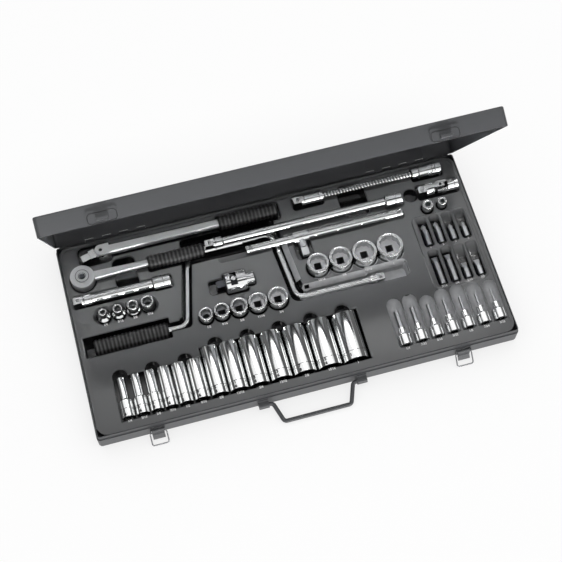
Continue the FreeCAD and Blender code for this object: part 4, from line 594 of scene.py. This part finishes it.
def stamped_shadow():
    """The floor of a stamped number, and painted shade round each catch pad: rough and unpolished, so that it
    reads dark.
    """
    material, tree, shader, place = surface("stamped_number_and_painted_shade")
    shader.inputs["Base Color"].default_value = (*linear("1c1c1e"), 1)
    speck = noise(tree, place, span=0.8 * MM, detail=1.0)
    roughen(tree, shader, speck, low=0.45, high=0.7)
    return material


def only(piece):
    """Selects one object by itself and makes it active."""
    bpy.ops.object.select_all(action="DESELECT")
    piece.select_set(True)
    bpy.context.view_layer.objects.active = piece


def settle():
    """Puts the selected piece's place, turn and scale into its mesh."""
    bpy.ops.object.transform_apply(location=True, rotation=True, scale=True)


def apply_all(piece):
    """Applies every modifier of a piece."""
    only(piece)
    for modifier in list(piece.modifiers):
        bpy.ops.object.modifier_apply(modifier=modifier.name)


def round_edges(piece, width):
    """Rounds a piece's creased edges."""
    bevel = piece.modifiers.new("edges", "BEVEL")
    bevel.width = width
    bevel.segments = 2
    bevel.limit_method = "ANGLE"
    bevel.angle_limit = CREASE
    apply_all(piece)


def finish_node(node, material, edge):
    """A merged copy of a rigid node with rounded edges that stands for it."""
    mesh = NODES[node].data.copy()
    mesh.materials.clear()
    mesh.materials.append(material)
    piece = bpy.data.objects.new(node + "_finished", mesh)
    bpy.context.scene.collection.objects.link(piece)
    only(piece)
    bpy.ops.mesh.customdata_custom_splitnormals_clear()
    bpy.ops.object.mode_set(mode="EDIT")
    bpy.ops.mesh.select_all(action="SELECT")
    bpy.ops.mesh.remove_doubles(threshold=MERGE)
    bpy.ops.mesh.dissolve_limited(angle_limit=COPLANAR)
    bpy.ops.object.mode_set(mode="OBJECT")
    if edge > 0:
        round_edges(piece, edge)
    bpy.ops.object.shade_smooth_by_angle(angle=CREASE)
    flat = piece.modifiers.new("flat faces stay flat", "WEIGHTED_NORMAL")
    flat.keep_sharp = True
    flat.weight = 100
    apply_all(piece)
    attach(piece, BODY_OF[node])
    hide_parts(node)
    return piece


def finished_mesh(node):
    """The mesh of a finished node."""
    return bpy.data.objects[node + "_finished"].data


def islands(node):
    """The boxes of a finished node's separate solids, from left to right."""
    mesh = finished_mesh(node)
    root = list(range(len(mesh.vertices)))

    def find(k):
        while root[k] != k:
            root[k] = root[root[k]]
            k = root[k]
        return k

    for edge in mesh.edges:
        root[find(edge.vertices[0])] = find(edge.vertices[1])
    groups = {}
    for vertex in mesh.vertices:
        groups.setdefault(find(vertex.index), []).append(vertex.co)
    boxes = []
    for points in groups.values():
        low = Vector([min(point[k] for point in points) for k in range(3)])
        high = Vector([max(point[k] for point in points) for k in range(3)])
        boxes.append((low, high))
    return sorted(boxes, key=lambda box: box[0].x)


def joined(pieces, name, material, body):
    """One object of several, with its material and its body."""
    bpy.ops.object.select_all(action="DESELECT")
    for piece in pieces:
        piece.select_set(True)
    whole = pieces[0]
    bpy.context.view_layer.objects.active = whole
    bpy.ops.object.join()
    whole.name = name
    whole.data.materials.clear()
    whole.data.materials.append(material)
    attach(whole, body)
    return whole


def lettering(body, size, place, bold, thickness, tilt=0.0):
    """A word as a thin mesh, centred on a place and tilted to a side."""
    bpy.ops.object.select_all(action="DESELECT")
    bpy.ops.object.text_add()
    word = bpy.context.object
    word.data.body = body
    word.data.size = size
    word.data.align_x = "CENTER"
    word.data.align_y = "CENTER"
    word.data.resolution_u = 3
    word.data.extrude = thickness / 2
    word.data.offset = bold
    bpy.ops.object.convert(target="MESH")
    word = bpy.context.object
    word.matrix_world = Matrix.Translation(place) @ Matrix.Rotation(tilt, 4, "Y")
    settle()
    return word


def end_radius(node, box, axis, place):
    """How wide a finished round solid is near one place along its axis."""
    low, high = box
    middle = (low + high) / 2
    across = [k for k in range(3) if k != axis]
    widest = 0.0
    for vertex in finished_mesh(node).vertices:
        spot = vertex.co
        if abs(spot[axis] - place) < END_BAND and all(low[k] <= spot[k] <= high[k] for k in range(3)):
            widest = max(widest, math.hypot(*(spot[k] - middle[k] for k in across)))
    return widest


def hoop(axis, middle, radius, width, height):
    """A ring of oval section, its width across an axis and its height along it: a rim or a turned line."""
    bpy.ops.object.select_all(action="DESELECT")
    bpy.ops.mesh.primitive_circle_add(vertices=HOOP_SIDES, radius=1.0, rotation=(math.pi / 2, 0, 0))
    piece = bpy.context.object
    piece.scale = (width / 2, height / 2, 1)
    piece.location = (radius, 0, 0)
    settle()
    bpy.ops.object.mode_set(mode="EDIT")
    bpy.ops.mesh.select_all(action="SELECT")
    bpy.ops.mesh.spin(steps=HOOP_STEPS, angle=2 * math.pi, center=(0, 0, 0), axis=(0, 0, 1))
    bpy.ops.mesh.select_all(action="SELECT")
    bpy.ops.mesh.remove_doubles(threshold=HOOP_MERGE)
    bpy.ops.mesh.normals_make_consistent(inside=False)
    bpy.ops.object.mode_set(mode="OBJECT")
    piece.rotation_euler = ((0, math.pi / 2, 0), (math.pi / 2, 0, 0), (0, 0, 0))[axis]
    piece.location = middle
    settle()
    bpy.ops.object.shade_smooth()
    return piece


def lid_stand():
    """Carries a place on the shut lid, measured from the hinge line, to the open lid."""
    low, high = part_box("hinge_pins")
    axis = Vector((0, (low.y + high.y) / 2, (low.z + high.z) / 2))
    return Matrix.Translation(axis) @ Matrix.Rotation(-LID_OPEN, 4, "X")


class SOCKETSET_OT_case(bpy.types.Operator):
    """Finishes the case, its lid and their fittings"""

    bl_idname = "socket_set.case"
    bl_label = "Case"

    def execute(self, context):
        paint = enamel()
        plate = bright_nickel()
        for node in PAINTED:
            finish_node(node, paint, SHEET_EDGE)
        for node in NICKELLED:
            finish_node(node, plate, WIRE_EDGE)
        self.roll_edge(paint)
        self.narrow_windows(paint)
        self.shade_catch_pads()
        return {"FINISHED"}

    def roll_edge(self, paint):
        """The lid's rear edge, rolled round the hinge line beside and between the hinges."""
        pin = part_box("hinge_pins")
        middle = (pin[0] + pin[1]) / 2
        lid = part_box("case_lid")
        edges = [lid[0].x + ROLL_INSET]
        for low, high in islands("lid_hinge_leaves"):
            edges += [low.x - ROLL_GAP, high.x + ROLL_GAP]
        edges.append(lid[1].x - ROLL_INSET)
        rolls = []
        for start, end in zip(edges[::2], edges[1::2]):
            bpy.ops.object.select_all(action="DESELECT")
            bpy.ops.mesh.primitive_circle_add(
                vertices=ROLL_SIDES,
                radius=ROLL_RADIUS,
                fill_type="NGON",
                location=(start, middle.y, middle.z),
                rotation=(0, math.pi / 2, 0),
            )
            roll = bpy.context.object
            settle()
            bpy.ops.object.mode_set(mode="EDIT")
            bpy.ops.mesh.select_all(action="SELECT")
            bpy.ops.mesh.extrude_region_move(TRANSFORM_OT_translate={"value": (end - start, 0, 0)})
            bpy.ops.mesh.select_all(action="SELECT")
            bpy.ops.mesh.normals_make_consistent(inside=False)
            bpy.ops.object.mode_set(mode="OBJECT")
            rolls.append(roll)
        joined(rolls, "lid_rolled_edge", paint, "lid")
        bpy.ops.object.shade_smooth_by_angle(angle=SMOOTH)

    def narrow_windows(self, paint):
        """The turned-in lips that narrow the lid's hinge windows to the base's knuckles."""
        stand = lid_stand()
        lips = []
        for low, high in islands("hinge_pins"):
            step = (high.x - low.x) / KNUCKLES
            for k in range(0, KNUCKLES, 2):
                bpy.ops.object.select_all(action="DESELECT")
                bpy.ops.mesh.primitive_cube_add(size=1.0)
                lip = bpy.context.object
                place = Matrix.Translation((low.x + (k + 0.5) * step, LIP_BEHIND, LIP_ABOVE))
                lip.matrix_world = stand @ place @ Matrix.Diagonal((step, LIP_THICK, LIP_HIGH, 1))
                settle()
                round_edges(lip, SHEET_EDGE)
                lips.append(lip)
        joined(lips, "lid_window_lips", paint, "lid")
        bpy.ops.object.shade_smooth_by_angle(angle=SMOOTH)

    def shade_catch_pads(self):
        """A dark line of painted shade round the pressed pad that carries each catch, on the lid's front
        wall.
        """
        stand = lid_stand()
        shut = stand.inverted()
        spots = [shut @ vertex.co for vertex in finished_mesh("case_lid").vertices]
        front = min(spot.y for spot in spots)
        rim = min(spot.z for spot in spots)
        pad_shades = []
        for low, high in islands("lid_catches"):
            bpy.ops.object.select_all(action="DESELECT")
            bpy.ops.mesh.primitive_plane_add(size=1.0)
            pad_shade = bpy.context.object
            pad_shade.scale = PAD_SHADE_SIZE
            settle()
            bpy.ops.object.mode_set(mode="EDIT")
            bpy.ops.mesh.select_all(action="SELECT")
            bpy.ops.mesh.bevel(offset=PAD_SHADE_CORNER, segments=5, affect="VERTICES")
            bpy.ops.mesh.select_all(action="SELECT")
            bpy.ops.mesh.delete(type="ONLY_FACE")
            bpy.ops.object.mode_set(mode="OBJECT")
            bpy.ops.object.convert(target="CURVE")
            pad_shade = bpy.context.object
            pad_shade.data.bevel_depth = PAD_SHADE_RADIUS
            pad_shade.data.bevel_resolution = 2
            bpy.ops.object.convert(target="MESH")
            pad_shade = bpy.context.object
            place = Matrix.Translation(((low.x + high.x) / 2, front, rim + PAD_SHADE_ABOVE))
            pad_shade.matrix_world = stand @ place @ Matrix.Rotation(math.pi / 2, 4, "X")
            settle()
            pad_shades.append(pad_shade)
        # The lines are painted shade round the catch pads.
        joined(pad_shades, "catch_pad_painted_shade", stamped_shadow(), "lid")
        bpy.ops.object.shade_smooth()


class SOCKETSET_OT_tray(bpy.types.Operator):
    """Finishes the moulded tray"""

    bl_idname = "socket_set.tray"
    bl_label = "Tray"

    def execute(self, context):
        colours = settings()[0]
        tray = finish_node("tray", tray_plastic("formed_polyethylene", colours.tray), TRAY_EDGE)
        drawn = drawn_plastic()
        tray.data.materials.append(drawn)
        # The skirt's plastic is painted shadow, dark where the tray meets the case.
        tray.data.materials.append(tray_plastic("skirt_painted_shade", colours.painted_pocket_shade))
        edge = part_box("tray")
        low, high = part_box("bit_socket_holders")
        left, right = low.x - BIT_MARGIN, high.x + BIT_MARGIN
        front, rear = low.y - BIT_MARGIN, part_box("flat_bits")[0].y - BIT_REAR
        arm = Vector((ARM_START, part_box("brace_crank")[0].y, 0))
        for face in tray.data.polygons:
            spot = face.center
            along = left < spot.x < right and front < spot.y < rear
            beside = (
                arm.x < spot.x < arm.x + ARM_REACH and arm.y - ARM_FRONT < spot.y < arm.y + ARM_REAR
            )
            gaps = [gap for k in (X, Y) for gap in (spot[k] - edge[0][k], edge[1][k] - spot[k])]
            if (along or beside) and spot.z < DECK - DRAWN_BELOW:
                face.material_index = DRAWN
            # Painted shadow: steep faces along the tray's outer edge take the dark skirt plastic.
            elif min(gaps) < SKIRT_REACH and face.normal.z < SKIRT_SLOPE:
                face.material_index = PAINTED_SKIRT_SHADE
        self.slope_pocket(drawn)
        return {"FINISHED"}

    def slope_pocket(self, plastic):
        """The sloped flanks that close the brace's pocket beside its arm, its drive end and its crank."""
        flanks = []
        for start, end, half in FLANKS:
            start, end = Vector(start) * MM, Vector(end) * MM
            run = end - start
            middle = (start + end) / 2
            bpy.ops.object.select_all(action="DESELECT")
            bpy.ops.mesh.primitive_plane_add(size=1.0, location=(0, 0.5, 0))
            settle()
            flank = bpy.context.object
            flank.matrix_world = (
                Matrix.Translation((middle.x, middle.y, FLANK_FOOT))
                @ Matrix.Rotation(math.atan2(run.y, run.x), 4, "Z")
                @ Matrix.Translation((0, half * MM, 0))
                @ Matrix.Rotation(math.pi / 4, 4, "X")
                @ Matrix.Translation((0, 0, FLANK_LIFT))
                @ Matrix.Diagonal((run.length, FLANK_RISE * math.sqrt(2), 1, 1))
            )
            settle()
            sheet = flank.modifiers.new("sheet", "SOLIDIFY")
            sheet.thickness = FLANK_SHEET
            sheet.offset = -1
            round_edges(flank, SHEET_EDGE)
            flanks.append(flank)
        joined(flanks, "brace_pocket_flanks", plastic, "case")
        bpy.ops.object.shade_smooth_by_angle(angle=SMOOTH)


class SOCKETSET_OT_tools(bpy.types.Operator):
    """Finishes the handles, bars and joints"""

    bl_idname = "socket_set.tools"
    bl_label = "Tools"

    def execute(self, context):
        colours, sizes, _ = settings()
        chrome = polished_chrome()
        satin = satin_chrome("satin_chrome_plate", colours.satin)
        rubber = grip_rubber()
        dark = dark_steel()
        for node in SATIN:
            finish_node(node, satin, sizes.edge)
        ground = satin_chrome("ground_chrome_plate", colours.chrome)
        finish_node("breaker_bar", ground, sizes.edge)
        for node in CHROMED:
            finish_node(node, chrome, sizes.edge)
        for node in GRIPS:
            self.mark_ribs(node, finish_node(node, rubber, RUBBER_EDGE).data)
        for node in DARK:
            finish_node(node, dark, FINE_EDGE)
        self.turn_dial(dark)
        self.turn_bars(dark)
        self.set_detents(dark)
        return {"FINISHED"}

    def mark_ribs(self, node, mesh):
        """How far each point of a grip stands out of its grooves, for the painted shade in the rubber."""
        low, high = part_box(node)
        middle = (low + high) / 2
        crest = (high.z - low.z) / 2
        rib = mesh.attributes.new("rib", "FLOAT", "POINT").data
        for vertex in mesh.vertices:
            reach = math.hypot(vertex.co.y - middle.y, vertex.co.z - middle.z)
            rib[vertex.index].value = min(max((reach - crest) / RIB_DEPTH + 1, 0), 1)

    def turn_dial(self, dark):
        """The two turned lines of the reversing dial."""
        node = "ratchet_reversing_dial"
        low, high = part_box(node)
        middle = Vector(((low.x + high.x) / 2, (low.y + high.y) / 2, high.z))
        radius = end_radius(node, (low, high), Z, high.z)
        lines = [hoop(Z, middle, radius * share, **DIAL_SECTION) for share in DIAL_SHARES]
        joined(lines, "dial_lines", dark, BODY_OF[node])

    def turn_bars(self, dark):
        """The lines turned round the bars near their ends."""
        for node, lefts, rights in TURNED_LINES:
            low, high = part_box(node)
            middle = (low + high) / 2
            radius = min(high.y - low.y, high.z - low.z) / 2
            places = [low.x + left * MM for left in lefts] + [high.x - right * MM for right in rights]
            lines = [hoop(X, (x, middle.y, middle.z), radius, **LINE_SECTION) for x in places]
            joined(lines, node + "_lines", dark, BODY_OF[node])

    def set_detents(self, dark):
        """The ring of the sprung ball on the upper flat of each drive square."""
        for node, last in DETENTS:
            spots = [vertex.co for vertex in finished_mesh(node).vertices]
            end = (max if last else min)(spot.x for spot in spots)
            inward = -1 if last else 1
            tip = [spot for spot in spots if DETENT_FIRST < (spot.x - end) * inward < DETENT_LAST]
            middle = (min(spot.y for spot in tip) + max(spot.y for spot in tip)) / 2
            place = Vector((end + inward * DETENT_IN, middle, max(spot.z for spot in tip)))
            rings = [
                hoop(Z, place, DETENT_RADIUS, **DETENT_SECTION),
                hoop(Z, place, BALL_RADIUS, **BALL_SECTION),
            ]
            joined(rings, node + "_detent", dark, BODY_OF[node])


class SOCKETSET_OT_sockets(bpy.types.Operator):
    """Finishes the sockets, bits and bit holders"""

    bl_idname = "socket_set.sockets"
    bl_label = "Sockets and bits"

    def execute(self, context):
        edge = settings()[1].edge
        chrome = polished_chrome()
        for node in (*STANDING, *DEEP, "bit_socket_holders", "bit_holders"):
            finish_node(node, chrome, edge)
        inside = broached_steel()
        bored = bored_steel()
        for node in (*STANDING, "bit_holders"):
            self.line_inside(node, inside, bored if node in WIDE else inside)
            self.roll_rims(node, chrome)
        steel = satin_tool_steel()
        for node in BITS:
            finish_node(node, steel, FINE_EDGE)
        self.mark_deep_sockets()
        return {"FINISHED"}

    def line_inside(self, node, wall, floor):
        """Gives the walls and floors inside a row of standing sockets the steel that cutting leaves."""
        mesh = finished_mesh(node)
        mesh.materials.append(wall)
        mesh.materials.append(floor)
        for low, high in islands(node):
            middle = (low + high) / 2
            radius = (high.x - low.x) / 2
            for face in mesh.polygons:
                spot = face.center
                if all(low[k] <= spot[k] <= high[k] for k in range(3)):
                    aside = (spot - middle).to_2d()
                    outward = face.normal.to_2d().dot(aside)
                    inner = aside.length < INSIDE_SHARE * radius and outward <= INSIDE_LEAN * aside.length
                    rim = spot.z > high.z - MOUTH_DEPTH and abs(face.normal.z) > MOUTH_SLOPE
                    if inner and not rim:
                        face.material_index = FLOOR if face.normal.z > FLOOR_SLOPE else WALL

    def roll_rims(self, node, chrome):
        """The rounded rim round each mouth of a row of standing sockets."""
        rims = []
        for low, high in islands(node):
            radius = end_radius(node, (low, high), Z, high.z)
            middle = ((low.x + high.x) / 2, (low.y + high.y) / 2, high.z - RIM_BELOW)
            rims.append(hoop(Z, middle, radius - RIM_INSET, **RIM_SECTION))
        joined(rims, node + "_rims", chrome, BODY_OF[node])

    def mark_deep_sockets(self):
        """A turned line and a stamped size near the drive end of each deep socket."""
        stamp = stamped_shadow()
        names = iter(DEEP_NAMES.split())
        outward = Vector((-math.sin(STAMP_AROUND), 0, math.cos(STAMP_AROUND)))
        for node in DEEP:
            marks = []
            for low, high in islands(node):
                radius = max(end_radius(node, (low, high), Y, low.y), (high.x - low.x) / 2)
                middle = Vector(((low.x + high.x) / 2, low.y + STAMP_LINE_IN, high.z - radius))
                marks.append(hoop(Y, middle, radius, **STAMP_SECTION))
                place = middle + outward * radius - Vector((0, STAMP_BACK, 0))
                size = min(STAMP_SHARE * radius, STAMP_LARGEST)
                rows = next(names).replace("/", "\n")
                marks.append(lettering(rows, size, place, STAMP_BOLD, STAMP_THICK, -STAMP_AROUND))
            joined(marks, node + "_stamps", stamp, BODY_OF[node])


class SOCKETSET_OT_flex_winding(bpy.types.Operator):
    """Winds the flexible shaft's wire over its core"""

    bl_idname = "socket_set.flex_winding"
    bl_label = "Flexible shaft"

    def execute(self, context):
        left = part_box("flex_drive_end")[1].x
        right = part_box("flex_socket_end")[0].x
        middle = (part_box("flex_core")[0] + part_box("flex_core")[1]) / 2
        self.wind_wire(left, right, middle)
        self.draw_core(left, right, middle)
        return {"FINISHED"}

    def wind_wire(self, left, right, middle):
        """The close winding of round wire, from one end piece to the other."""
        turns = settings()[1].turns
        pitch = (right - left) / turns
        wire = WIRE_SHARE * pitch
        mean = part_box("flex_winding")[1].z - middle.z - wire
        bpy.ops.object.select_all(action="DESELECT")
        bpy.ops.mesh.primitive_circle_add(vertices=WIRE_SIDES, radius=wire, location=(0, mean, 0))
        winding = bpy.context.object
        winding.name = "flex_winding_wire"
        settle()
        screw = winding.modifiers.new("turns", "SCREW")
        screw.axis = "X"
        screw.screw_offset = pitch
        screw.iterations = turns
        screw.steps = WIRE_STEPS
        screw.render_steps = WIRE_STEPS
        apply_all(winding)
        bpy.ops.object.mode_set(mode="EDIT")
        bpy.ops.mesh.select_all(action="SELECT")
        bpy.ops.transform.translate(value=(left, middle.y, middle.z))
        bpy.ops.mesh.normals_make_consistent(inside=False)
        bpy.ops.object.mode_set(mode="OBJECT")
        bpy.ops.object.shade_smooth()
        winding.data.materials.append(polished_chrome())
        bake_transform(winding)
        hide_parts("flex_winding")

    def draw_core(self, left, right, middle):
        """The core under the winding, built in short lengths."""
        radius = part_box("flex_core")[1].z - middle.z
        length = (right - left) / CORE_STEPS
        bpy.ops.object.select_all(action="DESELECT")
        bpy.ops.mesh.primitive_circle_add(
            vertices=CORE_SIDES,
            radius=radius,
            fill_type="NGON",
            rotation=(0, math.pi / 2, 0),
        )
        core = bpy.context.object
        core.name = "flex_core_cable"
        settle()
        bpy.ops.object.mode_set(mode="EDIT")
        bpy.ops.mesh.select_all(action="SELECT")
        bpy.ops.transform.translate(value=(left, middle.y, middle.z))
        for _ in range(CORE_STEPS):
            bpy.ops.mesh.extrude_region_move(TRANSFORM_OT_translate={"value": (length, 0, 0)})
        bpy.ops.mesh.select_all(action="SELECT")
        bpy.ops.mesh.normals_make_consistent(inside=False)
        bpy.ops.object.mode_set(mode="OBJECT")
        bpy.ops.object.shade_smooth_by_angle(angle=SMOOTH)
        core.data.materials.append(dark_steel())
        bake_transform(core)
        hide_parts("flex_core")


class SOCKETSET_OT_size_marks(bpy.types.Operator):
    """Prints each socket's and bit's size on the tray"""

    bl_idname = "socket_set.size_marks"
    bl_label = "Size marks"

    def execute(self, context):
        size = settings()[1].mark_height
        rows = (
            (("small_sockets",), "1/4 5/16 3/8 7/16", DECK_AHEAD, DECK),
            (MEDIUM_ROW, "1/2 9/16 5/8 11/16 3/4", DECK_AHEAD, DECK),
            (("large_sockets",), "13/16 7/8 15/16 1", DECK_AHEAD, DECK),
            (DEEP, DEEP_NAMES, DECK_AHEAD, DECK),
            (("bit_socket_holders",), "1/4 7/32 3/16 5/32 1/8 7/64 3/32", DECK_AHEAD, DECK),
            (("cross_bits",), "1 2 3 4", PANEL_AHEAD, PANEL),
            (("flat_bits",), "3/16 1/4 5/16 3/8", PANEL_AHEAD, PANEL),
        )
        words = []
        for nodes, names, ahead, height in rows:
            boxes = sorted((box for node in nodes for box in islands(node)), key=lambda box: box[0].x)
            for name, (low, high) in zip(names.split(), boxes, strict=True):
                place = ((low.x + high.x) / 2, low.y - ahead, height + MARK_LIFT)
                words.append(lettering(name, size, place, MARK_BOLD, MARK_THICK))
        joined(words, "size_marks", printed_ink(), "case")
        return {"FINISHED"}


class SOCKETSET_OT_stage(bpy.types.Operator):
    """Sets the floor, the lights, the world and the camera"""

    bl_idname = "socket_set.stage"
    bl_label = "Studio"

    def execute(self, context):
        scene = context.scene
        stage = settings()[2]
        scene.view_settings.view_transform = "Standard"
        self.lay_floor()
        self.light_world(scene)
        self.hang_lamps(stage)
        self.aim_camera(scene, stage)
        return {"FINISHED"}

    def lay_floor(self):
        """White paper: it looks white to the camera and in reflections, and a painted contact shadow darkens
        it towards the object.
        """
        bpy.ops.object.select_all(action="DESELECT")
        bpy.ops.mesh.primitive_plane_add(size=FLOOR_SIZE, location=(0, 0, 0))
        floor = bpy.context.object
        floor.name = "studio_floor"
        paper = bpy.data.materials.new("white_paper")
        paper.use_nodes = True
        tree = paper.node_tree
        tree.nodes.clear()
        rays = add(tree, "ShaderNodeLightPath").outputs
        seen = compute(tree, "ADD", rays["Is Camera Ray"], rays["Is Glossy Ray"])
        seen = compute(tree, "ADD", seen, rays["Is Transmission Ray"], use_clamp=True)
        share = compute(tree, "MULTIPLY", seen, FLOOR_GLOW)
        matt = add(tree, "ShaderNodeBsdfDiffuse", {"Color": (*linear("f4f4f4"), 1)})
        # Painted shadow: the floor's white glow darkens near the object.
        near = add(tree, "ShaderNodeAmbientOcclusion", {"Distance": CONTACT_REACH}).outputs["AO"]
        painted_contact_shadow = rescale(tree, near, {"From Min": CONTACT_DARKEST, "To Min": CONTACT_LIGHT})
        white = add(tree, "ShaderNodeEmission", {"Color": (1, 1, 1, 1), "Strength": painted_contact_shadow})
        mix = add(tree, "ShaderNodeMixShader", {0: share, 1: matt.outputs[0], 2: white.outputs[0]})
        add(tree, "ShaderNodeOutputMaterial", {"Surface": mix.outputs[0]})
        floor.data.materials.append(paper)

    def light_world(self, scene):
        """A white backdrop for the camera, and for reflections a light tent with one dark gap."""
        world = bpy.data.worlds.new("studio")
        scene.world = world
        world.use_nodes = True
        tree = world.node_tree
        tree.nodes.clear()
        heading = add(tree, "ShaderNodeTexCoord").outputs["Generated"]
        heading = add(tree, "ShaderNodeSeparateXYZ", {"Vector": heading}).outputs
        across = compute(tree, "ABSOLUTE", heading["X"])
        tent = rescale(tree, across, TENT)
        flag = compute(tree, "COMPARE", heading["Y"], GAP_MIDDLE, GAP_HALF)
        gap = compute(tree, "MULTIPLY_ADD", flag, -GAP_LOSS, 1.0)
        tent = compute(tree, "MULTIPLY", tent, gap)
        rays = add(tree, "ShaderNodeLightPath").outputs
        dim, tent, white = (
            add(tree, "ShaderNodeBackground", {"Color": (1, 1, 1, 1), "Strength": strength}).outputs[0]
            for strength in (WORLD_GLOW, tent, BACKDROP)
        )
        mix = add(tree, "ShaderNodeMixShader", {0: rays["Is Glossy Ray"], 1: dim, 2: tent}).outputs[0]
        mix = add(tree, "ShaderNodeMixShader", {0: rays["Is Camera Ray"], 1: mix, 2: white}).outputs[0]
        add(tree, "ShaderNodeOutputWorld", {"Surface": mix})

    def hang_lamps(self, stage):
        """Softboxes over, before and behind the case, two small lamps, and a gridded one for the lid."""
        origin = (0, 0, 0)
        strip, dot = (2.4, 0.36), (0.05, 0.05)
        for name, place, aim, size, spread, power in (
            ("overhead_softbox", (-0.1, -0.45, 1.9), origin, (0.5, 0.4), 180, stage.key_power),
            ("rear_softbox", (0.16, 0.56, 1.4), (0.1, -0.1, 0.03), (1.0, 0.35), 180, stage.rear_power),
            ("front_softbox", (0.35, -1.9, 0.2), origin, strip, 180, stage.front_power),
            ("left_glint", (-0.5, -0.5, 1.5), origin, dot, 180, stage.glint_power),
            ("right_glint", (0.75, 0.2, 1.5), origin, dot, 180, stage.glint_power),
            ("lid_softbox", (0, -1.1, 0.18), (0, 0.1, 0.18), (0.7, 0.07), 12, stage.lid_power),
        ):
            bpy.ops.object.light_add(type="AREA", location=place)
            lamp = bpy.context.object
            lamp.name = name
            lamp.data.shape = "RECTANGLE"
            lamp.data.size, lamp.data.size_y = size
            lamp.data.spread = math.radians(spread)
            lamp.data.energy = power
            lamp.visible_camera = False
            lamp.visible_glossy = name != "overhead_softbox"
            lamp.rotation_euler = (Vector(aim) - Vector(place)).to_track_quat("-Z", "Y").to_euler()

    def aim_camera(self, scene, stage):
        """The camera at the photograph's viewing angle."""
        back = Vector(
            (
                math.sin(stage.azimuth) * math.cos(stage.elevation),
                -math.cos(stage.azimuth) * math.cos(stage.elevation),
                math.sin(stage.elevation),
            )
        )
        right = Vector((math.cos(stage.azimuth), math.sin(stage.azimuth), 0))
        up = back.cross(right)
        turn = Matrix.Rotation(stage.roll, 3, back)
        right, up = turn @ right, turn @ up
        camera = bpy.data.objects.new("camera", bpy.data.cameras.new("camera"))
        scene.collection.objects.link(camera)
        place = back * stage.distance - right * stage.aside + up * stage.rise
        camera.matrix_world = Matrix.Translation(place) @ Matrix((right, up, back)).transposed().to_4x4()
        camera.data.lens = stage.lens
        camera.data.sensor_width = SENSOR
        camera.data.clip_start = CLIP_START
        scene.camera = camera


class SOCKETSET_PT_panel(bpy.types.Panel):
    """Lists the steps that dress the set"""

    bl_idname = "SOCKETSET_PT_panel"
    bl_label = "Socket Set"
    bl_space_type = "VIEW_3D"
    bl_region_type = "UI"
    bl_category = "Socket Set"

    def draw(self, context):
        for operator in OPERATORS:
            self.layout.operator(operator.bl_idname)
        for group in settings():
            for name in group.bl_rna.properties.keys():
                if name not in {"rna_type", "name"}:
                    self.layout.prop(group, name)


OPERATORS = (
    SOCKETSET_OT_case,
    SOCKETSET_OT_tray,
    SOCKETSET_OT_tools,
    SOCKETSET_OT_sockets,
    SOCKETSET_OT_flex_winding,
    SOCKETSET_OT_size_marks,
    SOCKETSET_OT_stage,
)
CLASSES = (SocketSetColours, SocketSetSizes, SocketSetStage, *OPERATORS, SOCKETSET_PT_panel)


def register():
    for cls in CLASSES:
        bpy.utils.register_class(cls)
    bpy.types.Scene.socket_set_colours = PointerProperty(type=SocketSetColours)
    bpy.types.Scene.socket_set_sizes = PointerProperty(type=SocketSetSizes)
    bpy.types.Scene.socket_set_stage = PointerProperty(type=SocketSetStage)


def unregister():
    del bpy.types.Scene.socket_set_stage
    del bpy.types.Scene.socket_set_sizes
    del bpy.types.Scene.socket_set_colours
    for cls in reversed(CLASSES):
        bpy.utils.unregister_class(cls)


def main():
    register()
    bpy.ops.socket_set.case()
    bpy.ops.socket_set.tray()
    bpy.ops.socket_set.tools()
    bpy.ops.socket_set.sockets()
    bpy.ops.socket_set.flex_winding()
    bpy.ops.socket_set.size_marks()
    bpy.ops.socket_set.stage()


if __name__ == "__main__":
    main()
